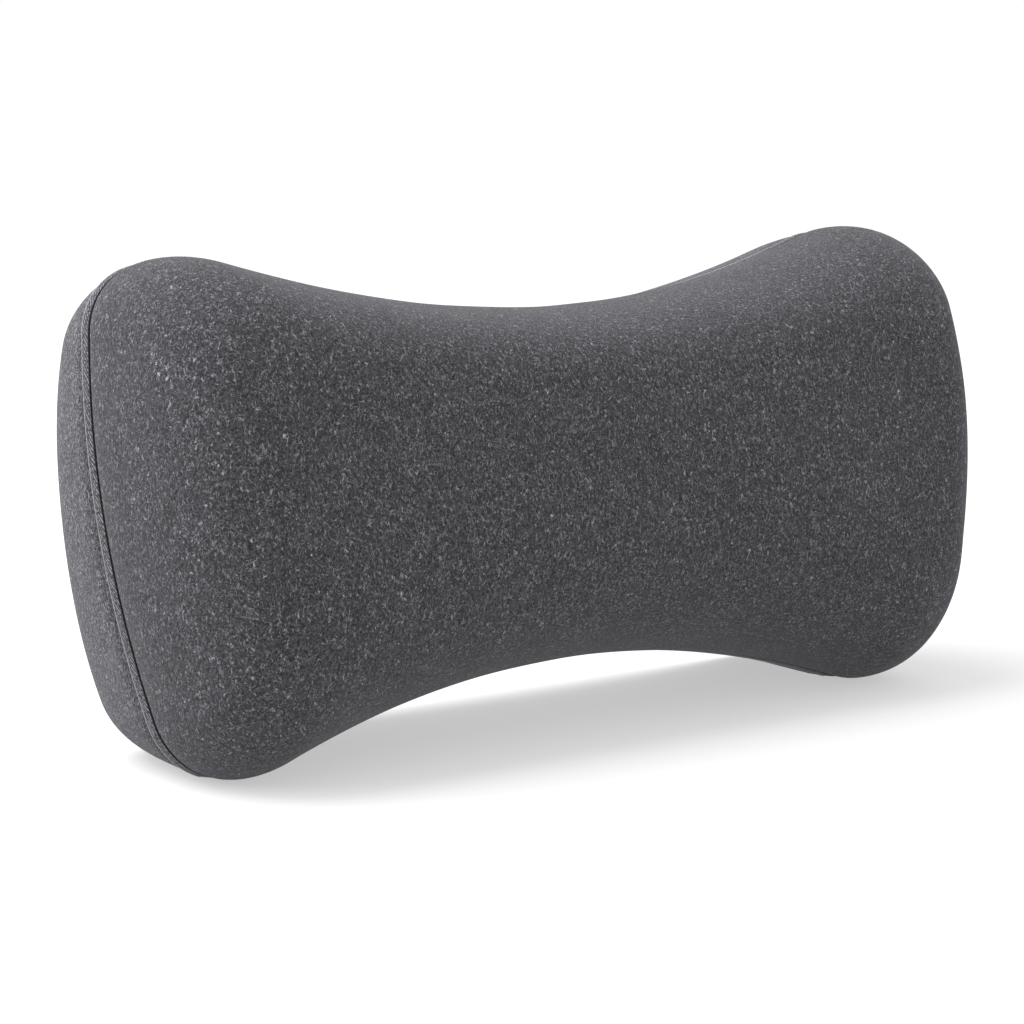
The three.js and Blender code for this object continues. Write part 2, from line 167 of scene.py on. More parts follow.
def new_piece(name: str, points: Array, faces: Array, uv: Optional[Array] = None) -> bpy.types.Object:
    """Puts whole arrays of points and faces into a smooth mesh object with its faces outwards.

    Args:
        name: The piece's name.
        points: N x 3 places in metres.
        faces: M x 4 point numbers, closed.
        uv: M x 4 x 2 pattern places, one for each corner, if the finish reads them.

    Returns:
        The new object, at the origin.
    """
    if enclosed_volume(points, faces) < 0.0:
        faces = faces[:, ::-1]
        uv = None if uv is None else uv[:, ::-1]
    mesh = bpy.data.meshes.new(name)
    mesh.from_pydata(points.tolist(), [], faces.tolist())
    mesh.polygons.foreach_set("use_smooth", np.ones(len(faces), dtype=bool))
    if uv is not None:
        layer = mesh.uv_layers.new(name="weave")
        layer.data.foreach_set("uv", uv.reshape(-1).astype(np.float32))
    mesh.validate()
    mesh.update()
    return linked(name, mesh)


def tube_points(path: Array, normal: Array, half_wide: float, half_high: float, sides: int) -> Array:
    """Carries an oval section along a path.

    The section at each step is centre + wide * cos(a) * across + high * sin(a) * normal, where
    across is the path's direction x normal.

    Args:
        path: K x 3 centres.
        normal: K x 3 unit vectors that the section's height follows.
        half_wide: Half the section across the normal.
        half_high: Half the section along the normal.
        sides: Points round the section.

    Returns:
        K x sides x 3 points.
    """
    along = np.gradient(path, axis=0)
    across = np.cross(along, normal)
    across /= np.linalg.norm(across, axis=1, keepdims=True)
    angle = np.arange(sides) * 2.0 * math.pi / sides
    wide = half_wide * np.cos(angle)[None, :, None] * across[:, None, :]
    high = half_high * np.sin(angle)[None, :, None] * normal[:, None, :]
    return path[:, None, :] + wide + high


def smooth_waves(places: Array, wavelengths: Sequence[float], seed: int) -> Array:
    """A gentle bumpy field: the mean of sine waves in seeded random directions, from -1 to 1.

    Args:
        places: ... x 3 places.
        wavelengths: The waves' lengths in metres.
        seed: Fixes the directions and phases.

    Returns:
        The field at each place.
    """
    random = np.random.default_rng(seed)
    total = np.zeros(places.shape[:-1])
    for wavelength in wavelengths:
        direction = random.normal(size=3)
        direction *= 2.0 * math.pi / (wavelength * np.linalg.norm(direction))
        total += np.sin(places @ direction + random.uniform(0.0, 2.0 * math.pi))
    return total / len(wavelengths)


# -------------------------------------------------------------------- shape


@dataclass(frozen=True)
class CushionShape:
    """The outline, rolls and lean that every layer of the cushion follows."""

    width: float = 400 * MM
    height: float = 199 * MM
    waist: float = 143.5 * MM
    corner_r: float = 31 * MM
    end_r: float = 408 * MM
    top_flare: float = 0.31
    front_depth: float = 70 * MM
    front_roll_x: float = 30 * MM
    front_roll_z: float = 71 * MM
    front_power: float = 2.35
    crown_rise: float = 21 * MM
    crown_bulge: float = 1.5 * MM
    band_depth: float = 6 * MM
    rear_step: float = 0.6 * MM
    rear_depth: float = 46.8 * MM
    rear_roll_x: float = 28 * MM
    rear_roll_top: float = 16 * MM
    rear_roll_bottom: float = 12 * MM
    rear_power: float = 3.4
    front_pull: float = 1.5 * MM
    rear_pull_top: float = 12 * MM
    rear_pull_bottom: float = 7 * MM
    pull_at_band: float = 0.15
    wedge: float = math.radians(8.5)
    lean: float = math.radians(11.0)
    settle: float = 2 * MM
    seam_half: float = 0.7 * MM
    line_half: float = 0.45 * MM
    seam_dip: float = 0.9 * MM
    cover_t: float = 2.5 * MM
    origin: Tuple[float, float, float] = (0.0, 9.34667 * MM, 96.81676 * MM)

    @property
    def half_height(self) -> float:
        """Half the height across the lobes."""
        return self.height / 2.0

    @property
    def half_width(self) -> float:
        """Half the length."""
        return self.width / 2.0

    def arcs(self) -> Tuple[Array, Array, Array, Array]:
        """The quarter outline's three arcs: centres, radii, angles and inset signs.

        The waist's hollow arc, the lobe's arc and the end's slow arc each touch the next.
        """
        lobe_z = self.half_height - self.corner_r
        end_x = self.half_width - self.end_r
        lobe_x = end_x + math.sqrt((self.end_r - self.corner_r) ** 2 - lobe_z ** 2)
        drop = self.waist / 2.0 - lobe_z
        waist_r = (lobe_x ** 2 + drop ** 2 - self.corner_r ** 2) / (2.0 * (self.corner_r - drop))
        waist_z = self.waist / 2.0 + waist_r
        waist_end = math.atan2(lobe_z - waist_z, lobe_x)
        end_start = math.atan2(lobe_z, lobe_x - end_x)
        centres = np.array([(0.0, waist_z), (lobe_x, lobe_z), (end_x, 0.0)])
        radii = np.array([waist_r, self.corner_r, self.end_r])
        spans = ((-math.pi / 2.0, waist_end), (waist_end + math.pi, end_start), (end_start, 0.0))
        return centres, radii, np.array(spans), np.array([1.0, -1.0, -1.0])

    def arc_lengths(self) -> Array:
        """The lengths of the quarter outline's three arcs."""
        _, radii, spans, _ = self.arcs()
        return radii * np.abs(spans[:, 1] - spans[:, 0])

    def quarter(self, share: Array, inset: Array) -> Tuple[Array, Array]:
        """Points of the upper right quarter of the outline.

        Each point is its arc's centre + (radius + sign * inset) * (cos a, sin a), with a found
        from the share of the quarter's length, so that layers stay parallel.

        Args:
            share: 0 at the top of the waist to 1 at the middle of the end.
            inset: How far inside the outline, in metres.

        Returns:
            X and Z, both at least 0.
        """
        centres, radii, spans, signs = self.arcs()
        lengths = self.arc_lengths()
        starts = np.concatenate(([0.0], np.cumsum(lengths)))
        along = share * starts[-1]
        which = np.clip(np.searchsorted(starts, along, side="right") - 1, 0, 2)
        part = (along - starts[which]) / lengths[which]
        angle = spans[which, 0] + part * (spans[which, 1] - spans[which, 0])
        radius = radii[which] + signs[which] * inset
        x = centres[which, 0] + radius * np.cos(angle)
        z = centres[which, 1] + radius * np.sin(angle)
        return x, z

    def lobe_share(self) -> float:
        """The share of the quarter's length at which the lobe is half way round."""
        lengths = self.arc_lengths()
        return float((lengths[0] + lengths[1] / 2.0) / lengths.sum())

    def loop(self, turn: Array, inset: Array) -> Tuple[Array, Array]:
        """Points of the whole outline, clockwise from the top of the waist.

        Args:
            turn: 0 to 1 once round.
            inset: How far inside the outline.

        Returns:
            X and Z.
        """
        four = np.mod(turn, 1.0) * 4.0
        number = np.floor(four)
        part = four - number
        share = np.where(np.mod(number, 2.0) == 0.0, part, 1.0 - part)
        x, z = self.quarter(share, inset)
        return np.where(number >= 2.0, -x, x), np.where((number == 1.0) | (number == 2.0), -z, z)

    def flare(self, x: Array, z: Array) -> Array:
        """The half width grows a little with height."""
        return x * (1.0 + self.top_flare * z)

    @staticmethod
    def turn_in(share: Array, power: float) -> Array:
        """How far a roll has turned in at a share of its depth: 1 - (1 - s^p)^(1/p)."""
        return 1.0 - np.maximum(0.0, 1.0 - share ** power) ** (1.0 / power)

    def corner_share(self, x: Array, z: Array) -> Array:
        """How much a point belongs to its corner: |x|^4 |z|^4 above and |x|^8 |z|^4 below."""
        power = np.where(z > 0.0, 4.0, 8.0)
        return (np.abs(x) / self.half_width) ** power * (np.abs(z) / self.half_height) ** 4

    def settled(self, x: Array, y: Array, z: Array, inset: Array) -> Tuple[Array, Array, Array]:
        """Lifts what would be under the floor's plane onto it, set in by the layer's inset."""
        drop = self.half_height * math.cos(self.lean) + self.band_depth * math.sin(self.lean)
        height = z * math.cos(self.lean) - y * math.sin(self.lean)
        lift = np.maximum(0.0, inset - (drop - self.settle) - height)
        return x, y - lift * math.sin(self.lean), z + lift * math.cos(self.lean)

    def front(self, share: Array, x: Array, z: Array, depth_inset: Array, inset: Array) -> Array:
        """A point of the front roll, in the cushion's own leaning frame.

        y = -(seam + (depth - inset - seam) * s); x and z shrink by the roll's turn about the
        crown line: x * (1 - roll_x * turn / half width), rise + (z - rise) * (1 - roll_z * turn /
        half height). The upper corners are drawn in by front pull * (1 - (1 - s)^3).

        Args:
            share: Depth share, 0 at the seam and 1 at the crown.
            x: Outline X before the roll.
            z: Outline Z before the roll.
            depth_inset: Set-in along the depth.
            inset: The layer's inset, which the floor's plane keeps to.

        Returns:
            ... x 3 points.
        """
        turned = self.turn_in(share, self.front_power)
        y = -self.seam_half - (self.front_depth - depth_inset - self.seam_half) * share
        narrow = 1.0 - self.front_roll_x / self.half_width * turned
        squeeze = 1.0 - self.front_roll_z / self.half_height * turned
        drawn = np.where(z > 0.0, self.front_pull * (1.0 - (1.0 - share) ** 3), 0.0)
        left = 1.0 - drawn * self.corner_share(x, z) / np.maximum(np.hypot(x, z), MM)
        raised = self.crown_rise + (z * left - self.crown_rise) * squeeze
        return np.stack(self.settled(self.flare(x, z) * left * narrow, y, raised, inset), axis=-1)

    def rear(self, share: Array, x: Array, z: Array, depth_inset: Array, inset: Array) -> Array:
        """A point of the rear block, in the cushion's own leaning frame.

        The ring at depth share s is the outline stepped in by the roll and pulled in at the four
        corners; its underside climbs with depth by tan(lean), and the back plane stands at
        rear depth - tan(wedge) * z.

        Args:
            share: Depth share, 0 at the band and 1 at the flat back.
            x: Outline X before the roll.
            z: Outline Z before the roll.
            depth_inset: Set-in from the back's outer plane.
            inset: The layer's inset, which the floor's plane keeps to.

        Returns:
            ... x 3 points.
        """
        turned = self.turn_in(share, self.rear_power)
        drawn = np.where(z > 0.0, self.rear_pull_top, self.rear_pull_bottom)
        drawn = drawn * (self.pull_at_band + (1.0 - self.pull_at_band) * share)
        pull = drawn * self.corner_share(x, z) / np.maximum(np.hypot(x, z), MM)
        roll_z = np.where(z > 0.0, self.rear_roll_top, self.rear_roll_bottom)
        step_x = (self.rear_step + self.rear_roll_x * turned) / self.half_width
        step_z = (self.rear_step + roll_z * turned) / self.half_height
        ring_z = z * (1.0 - step_z - pull)
        climb = np.maximum(0.0, -ring_z / self.half_height) * math.tan(self.lean)
        full = self.rear_depth - depth_inset - math.tan(self.wedge) * ring_z
        deep = share * full / (1.0 + share * math.tan(self.wedge) * climb)
        ring_x = self.flare(x, z) * (1.0 - step_x - pull)
        return np.stack(self.settled(ring_x, self.band_depth + deep, ring_z + climb * deep, inset), axis=-1)

    def stood(self, points: Array) -> Array:
        """Leans the cushion's own frame back and stands it on the floor."""
        cos, sin = math.cos(self.lean), math.sin(self.lean)
        x, y, z = points[..., 0], points[..., 1], points[..., 2]
        turned = np.stack((x, y * cos + z * sin, z * cos - y * sin), axis=-1)
        return turned + np.array(self.origin)

    def on_back(self, points: Array) -> Array:
        """Carries points from the back face's frame, with its outer face at y = 0, to the row's."""
        cos, sin = math.cos(self.wedge), math.sin(self.wedge)
        x, y, z = points[..., 0], points[..., 1], points[..., 2]
        out = y * cos - z * sin + self.band_depth + self.rear_depth
        own = np.stack((x, out, z * cos + y * sin), axis=-1)
        return self.stood(own)


# ----------------------------------------------------------------- finishes


class NodeBench:
    """Adds and joins the nodes of one material."""

    def __init__(self, name: str) -> None:
        """Starts an empty material of this name."""
        self.material = bpy.data.materials.new(name)
        self.material.use_nodes = True
        self.tree = self.material.node_tree
        self.tree.nodes.clear()
        self.place = self.tree.nodes.new("ShaderNodeTexCoord")

    def node(self, kind: str, inputs: dict, **settings) -> bpy.types.Node:
        """Adds a node, sets its options and fills or links its sockets.

        Args:
            kind: The node's type name.
            inputs: Socket name or number to a value or another node's socket.
            **settings: The node's own options.

        Returns:
            The node.
        """
        made = self.tree.nodes.new(kind)
        for key, value in settings.items():
            setattr(made, key, value)
        for key, value in inputs.items():
            if isinstance(value, bpy.types.NodeSocket):
                self.tree.links.new(value, made.inputs[key])
            else:
                made.inputs[key].default_value = value
        return made

    def math(self, operation: str, a, b=0.0, clamp: bool = False) -> bpy.types.NodeSocket:
        """One arithmetic step."""
        return self.node("ShaderNodeMath", {0: a, 1: b}, operation=operation, use_clamp=clamp).outputs[0]

    def times(self, a, b) -> bpy.types.NodeSocket:
        """The product of two."""
        return self.math("MULTIPLY", a, b)

    def plus(self, a, b) -> bpy.types.NodeSocket:
        """The sum of two."""
        return self.math("ADD", a, b)

    def plain(self) -> bpy.types.NodeSocket:
        """The piece's own places, as they are."""
        return self.mapped((0.0, 0.0, 0.0), (1.0, 1.0, 1.0))

    def mapped(self, turn: Sequence[float], scale: Sequence[float], source=None) -> bpy.types.NodeSocket:
        """Object places, or another socket's, turned and stretched."""
        start = self.place.outputs["Object"] if source is None else source
        inputs = {"Vector": start, "Rotation": tuple(turn), "Scale": tuple(scale)}
        return self.node("ShaderNodeMapping", inputs).outputs[0]

    def noise(self, where, scale: float, detail: float = 1.0, distortion: float = 0.0):
        """Soft noise from 0 to 1 with so many features to a metre."""
        inputs = {"Vector": where, "Scale": scale, "Detail": detail, "Distortion": distortion}
        return self.node("ShaderNodeTexNoise", inputs).outputs[0]

    def ramp(self, value, low: float, high: float, start: float = 0.0, end: float = 1.0):
        """A smooth step: start below low, end above high."""
        inputs = {"Value": value, "From Min": low, "From Max": high, "To Min": start, "To Max": end}
        return self.node("ShaderNodeMapRange", inputs, interpolation_type="SMOOTHSTEP").outputs[0]

    def blend(self, factor, a, b) -> bpy.types.NodeSocket:
        """Mixes two colours."""
        made = self.node("ShaderNodeMix", {0: factor}, data_type="RGBA")
        for key, value in ((6, a), (7, b)):
            if isinstance(value, bpy.types.NodeSocket):
                self.tree.links.new(value, made.inputs[key])
            else:
                made.inputs[key].default_value = (*value, 1.0)
        return made.outputs[2]

    def finish(self, colour, roughness, height=None, depth: float = 0.0, **shader) -> bpy.types.Material:
        """Ends the material in a principled shader with a bump.

        Args:
            colour: Colour or socket.
            roughness: Number or socket.
            height: Socket of surface height, from 0 to 1.
            depth: What 1 of that height stands for, in metres.
            **shader: Uniform sockets of the shader, with _ for a space.

        Returns:
            The finished material.
        """
        base = colour if isinstance(colour, bpy.types.NodeSocket) else (*colour, 1.0)
        inputs = {"Base Color": base, "Roughness": roughness}
        inputs.update({key.replace("_", " "): value for key, value in shader.items()})
        surface = self.node("ShaderNodeBsdfPrincipled", inputs)
        if height is not None:
            bump = self.node("ShaderNodeBump", {"Height": height, "Distance": depth, "Strength": 1.0})
            self.tree.links.new(bump.outputs[0], surface.inputs["Normal"])
        self.node("ShaderNodeOutputMaterial", {0: surface.outputs[0]})
        return self.material


@dataclass(frozen=True)
class FibreFinish:
    """Brushed heathered knit: short curved pale fibres and dark gaps over a charcoal ground."""

    name: str
    gap: Colour = (0.016, 0.016, 0.018)
    ground: Colour = (0.0635, 0.0635, 0.070)
    fibre: Colour = (0.235, 0.236, 0.257)
    fleck: Colour = (0.38, 0.385, 0.41)
    per_metre: float = 690.0
    line: float = 0.044
    depth: float = 0.3 * MM
    sheen: float = 0.15
    cloud: float = 0.2

    def strands(self, bench: NodeBench, turn: Sequence[float], stretch: float, scale: float):
        """Thin curved lines where distorted noise crosses a half, broken into short lengths.

        Args:
            bench: The material's bench.
            turn: The lines' lean about each axis, in radians.
            stretch: How much longer than wide the noise is.
            scale: Features to a metre.

        Returns:
            1 on a strand and 0 off it.
        """
        where = bench.mapped(turn, (1.0, 1.0, 1.0 / stretch))
        field_ = bench.noise(where, scale, 0.4, 0.9)
        off = bench.math("ABSOLUTE", bench.math("SUBTRACT", field_, 0.5))
        line = bench.ramp(off, 0.0, self.line, 1.0, 0.0)
        broken = bench.ramp(bench.noise(where, scale * 1.15, 0.0), 0.38, 0.62)
        return bench.times(line, broken)

    def material(self) -> bpy.types.Material:
        """Builds the knit's material."""
        bench = NodeBench(self.name)
        layers = (
            self.strands(bench, (0.3, 0.75, 0.2), 1.6, self.per_metre),
            self.strands(bench, (-0.4, -0.65, 0.5), 1.5, self.per_metre * 1.17),
        )
        fibres = bench.math("MAXIMUM", layers[0], bench.times(layers[1], 0.85))
        place = bench.plain()
        fine = bench.noise(place, self.per_metre * 2.0, 2.0)
        gaps = bench.ramp(bench.noise(place, self.per_metre * 1.3, 1.0, 0.5), 0.38, 0.5, 1.0, 0.0)
        ground = bench.blend(bench.ramp(fine, 0.3, 0.7), self.gap, self.ground)
        ground = bench.blend(bench.times(gaps, 0.7), ground, self.gap)
        cloud = bench.ramp(bench.noise(place, 70.0, 3.0), 0.3, 0.7, 1.0 - self.cloud, 1.0)
        colour = bench.blend(bench.times(fibres, cloud), ground, self.fibre)
        spots = bench.ramp(bench.noise(place, self.per_metre * 0.8, 0.5), 0.6, 0.72)
        flecks = bench.times(bench.times(fibres, spots), 0.8)
        colour = bench.blend(flecks, colour, self.fleck)
        height = bench.plus(bench.times(fibres, 0.7), bench.times(fine, 0.5))
        height = bench.math("SUBTRACT", height, bench.times(gaps, 0.3))
        return bench.finish(colour, 0.95, height, self.depth, Sheen_Weight=self.sheen, **KNIT_SHINE)


@dataclass(frozen=True)
class FoamFinish:
    """Open-cell foam: a pale ground with dark pin pores of several sizes."""

    name: str
    base: Colour
    pore: Colour
    per_metre: float

    def material(self) -> bpy.types.Material:
        """Builds the foam's material."""
        bench = NodeBench(self.name)
        place = bench.plain()
        inputs = {"Vector": place, "Scale": self.per_metre}
        cells = bench.node("ShaderNodeTexVoronoi", inputs).outputs[0]
        pores = bench.ramp(cells, 0.12, 0.42, 1.0, 0.0)
        cloud = bench.ramp(bench.noise(place, 18.0, 3.0), 0.3, 0.7, 0.0, 0.25)
        dark = bench.math("MAXIMUM", bench.times(pores, 0.8), cloud)
        colour = bench.blend(dark, self.base, self.pore)
        height = bench.math("SUBTRACT", 1.0, pores)
        return bench.finish(colour, 0.92, height, 0.3 * MM, Specular_IOR_Level=0.2)


@dataclass(frozen=True)
class RibFinish:
    """Knit or woven cloth with rows of ribs in two directions on the piece's own places."""

    name: str
    low: Colour
    high: Colour
    per_metre: float
    lean: float = 0.0
    depth: float = 0.15 * MM
    sheen: float = 0.1

    def material(self) -> bpy.types.Material:
        """Builds the ribbed cloth's material."""
        bench = NodeBench(self.name)
        place = bench.mapped((0.0, self.lean, 0.0), (1.0, 1.0, 1.0))
        waves = []
        for direction, stretch in (("X", 1.0), ("Z", 0.7)):
            inputs = {"Vector": place, "Scale": self.per_metre * stretch / 3.0}
            inputs.update({"Distortion": 0.6, "Detail": 1.0})
            waves.append(bench.node("ShaderNodeTexWave", inputs, bands_direction=direction).outputs[1])
        weave = bench.times(waves[0], waves[1])
        fuzz = bench.noise(place, 900.0, 2.0)
        mixed = bench.plus(bench.times(weave, 0.7), bench.times(fuzz, 0.3))
        colour = bench.blend(bench.ramp(mixed, 0.1, 0.7), self.low, self.high)
        return bench.finish(colour, 0.9, weave, self.depth, Sheen_Weight=self.sheen, Specular_IOR_Level=0.2)


@dataclass(frozen=True)
class BiasFinish:
    """The cover's knit cut on the bias: slanting broken ribs, painted shade in the seam's groove and a
    painted highlight along the rear edge's ridge.
    """

    name: str
    seam_shade_to: float
    ridge_from: float
    ridge_to: float
    gap: Colour = (0.012, 0.012, 0.013)
    ground: Colour = (0.070, 0.070, 0.077)
    fibre: Colour = (0.26, 0.26, 0.28)
    # Painted highlight: the pale colour of light caught along the band's rear ridge.
    ridge_highlight: Colour = (0.29, 0.29, 0.31)
    # Painted shade: the near-black that stands in for the shadow down in the seam's groove.
    seam: Colour = (0.006, 0.006, 0.007)
    pitch: float = 1.35 * MM
    slant: float = math.radians(52.0)
    depth: float = 0.3 * MM
    sheen: float = 0.1

    def material(self) -> bpy.types.Material:
        """Builds the strip's material from its weave map, which is in metres."""
        bench = NodeBench(self.name)
        own = bench.node("ShaderNodeUVMap", {}, uv_map="weave").outputs[0]
        turned = bench.mapped((0.0, 0.0, self.slant), (1.0, 1.0, 1.0), own)
        inputs = {"Vector": turned, "Scale": 1.0 / (3.183 * self.pitch), "Distortion": 2.6, "Detail": 2.0}
        wave = bench.node("ShaderNodeTexWave", inputs, bands_direction="X").outputs[1]
        stretched = bench.mapped((0.0, 0.0, self.slant), (1.0, 0.5, 1.0), own)
        broken = bench.ramp(bench.noise(stretched, 900.0, 1.0, 0.5), 0.36, 0.6)
        fine = bench.noise(own, 1100.0, 2.0)
        ribs = bench.times(bench.ramp(wave, 0.5, 0.9), broken)
        colour = bench.blend(bench.ramp(fine, 0.38, 0.62), self.gap, self.ground)
        colour = bench.blend(bench.times(ribs, 0.85), colour, self.fibre)
        across = bench.node("ShaderNodeSeparateXYZ", {0: own}).outputs[1]
        middle = (self.ridge_from + self.ridge_to) / 2.0
        half = (self.ridge_to - self.ridge_from) / 2.0
        off = bench.math("ABSOLUTE", bench.math("SUBTRACT", across, middle))
        # Painted highlight: the rear ridge is painted paler where light catches it, made patchy by fine
        # noise.
        worn = bench.ramp(fine, 0.3, 0.6, 0.55, 0.95)
        edge = bench.times(bench.ramp(off, half * 0.5, half, 1.0, 0.0), worn)
        colour = bench.blend(edge, colour, self.ridge_highlight)
        # Painted shade: the curl into the seam's groove is painted near-black, with a ragged edge, where its
        # shadow falls.
        ragged = bench.plus(across, bench.times(fine, 0.45 * MM))
        seam_shade = bench.ramp(ragged, self.seam_shade_to + 0.25 * MM, self.seam_shade_to + 0.5 * MM, 1.0, 0.0)
        colour = bench.blend(seam_shade, colour, self.seam)
        height = bench.plus(bench.times(ribs, 0.7), bench.times(fine, 0.5))
        return bench.finish(colour, 0.95, height, self.depth, Sheen_Weight=self.sheen, **KNIT_SHINE)


@dataclass(frozen=True)
class ThreadFinish:
    """Twisted polyester thread with a faint shine."""

    name: str
    base: Colour = (0.006, 0.006, 0.007)
    lift: Colour = (0.022, 0.0225, 0.025)

    def material(self) -> bpy.types.Material:
        """Builds the thread's material."""
        bench = NodeBench(self.name)
        fine = bench.noise(bench.plain(), 2600.0, 2.0)
        colour = bench.blend(bench.ramp(fine, 0.35, 0.7), self.base, self.lift)
        return bench.finish(colour, 0.7, fine, 0.08 * MM, Specular_IOR_Level=0.3)


@dataclass(frozen=True)
class NylonFinish:
    """Dark nylon coil, smooth with a soft gloss and faint scuffs."""

    name: str

    def material(self) -> bpy.types.Material:
        """Builds the coil's material."""
        bench = NodeBench(self.name)
        place = bench.plain()
        scuff = bench.ramp(bench.noise(place, 350.0, 3.0), 0.45, 0.75)
        colour = bench.blend(scuff, (0.014, 0.0145, 0.017), (0.035, 0.036, 0.040))
        return bench.finish(colour, bench.ramp(scuff, 0.0, 1.0, 0.3, 0.5), scuff, 0.02 * MM)


@dataclass(frozen=True)
class ZincFinish:
    """Gunmetal plating over die-cast zinc, worn brighter in small rubs."""

    name: str

    def material(self) -> bpy.types.Material:
        """Builds the metal's material."""
        bench = NodeBench(self.name)
        place = bench.plain()
        rub = bench.ramp(bench.noise(place, 1400.0, 3.0, 0.3), 0.56, 0.8)
        brush = bench.noise(bench.mapped((0.0, 0.0, 0.0), (0.15, 1.0, 1.0)), 2400.0, 2.0)
        colour = bench.blend(rub, (0.11, 0.115, 0.125), (0.19, 0.192, 0.2))
        rough = bench.plus(bench.times(brush, 0.2), 0.22)
        return bench.finish(colour, rough, brush, 0.01 * MM, Metallic=1.0)


@dataclass
class Wardrobe:
    """Every finish of the cushion, built once."""

    cover: bpy.types.Material = field(default_factory=lambda: FibreFinish("cover_knit_finish").material())
    # Painted light: the side knit is the cover knit with its ground painted lighter, standing in for the
    # light from the left on the side wall; its finer, fainter strands are the side cloth's own texture.
    side: bpy.types.Material = field(default_factory=lambda: FibreFinish(
        "lit_side_knit_finish", ground=(0.090, 0.090, 0.0985), per_metre=900.0, line=0.08, cloud=0.1).material())
    thread: bpy.types.Material = field(default_factory=lambda: ThreadFinish("seam_thread_finish").material())
    liner: bpy.types.Material = field(default_factory=lambda: RibFinish(
        "liner_knit_finish", (0.5, 0.5, 0.47), (0.74, 0.74, 0.71), 900.0).material())
    soft_foam: bpy.types.Material = field(default_factory=lambda: FoamFinish(
        "soft_foam_finish", (0.8, 0.76, 0.63), (0.58, 0.53, 0.4), 1500.0).material())
    firm_foam: bpy.types.Material = field(default_factory=lambda: FoamFinish(
        "firm_foam_finish", (0.56, 0.62, 0.68), (0.36, 0.42, 0.48), 900.0).material())
    tape: bpy.types.Material = field(default_factory=lambda: RibFinish(
        "zip_tape_finish", (0.008, 0.008, 0.010), (0.040, 0.041, 0.047), 1600.0, 0.8).material())
    nylon: bpy.types.Material = field(default_factory=lambda: NylonFinish("zip_coil_finish").material())
    zinc: bpy.types.Material = field(default_factory=lambda: ZincFinish("zip_metal_finish").material())


def dress(piece: bpy.types.Object, material: bpy.types.Material) -> None:
    """Gives a piece one finish in place of any that it has."""
    if piece.data.materials:
        for number in range(len(piece.data.materials)):
            piece.data.materials[number] = material
    else:
        piece.data.materials.append(material)


def stand_for(
    piece: bpy.types.Object, material: bpy.types.Material, body: str, slot: str, *nodes: str
) -> None:
    """Dresses a piece, lets it ride on a body and stand for solids.

    Args:
        piece: The finished piece.
        material: Its finish.
        body: The body that it moves with.
        slot: Not used.
        *nodes: The solids that it stands for.
    """
    dress(piece, material)
    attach(piece, body)
    if nodes:
        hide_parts(*nodes)
    LOG.info("%s: %d faces on %s", piece.name, len(piece.data.polygons), body)


# ------------------------------------------------------------- cover panels


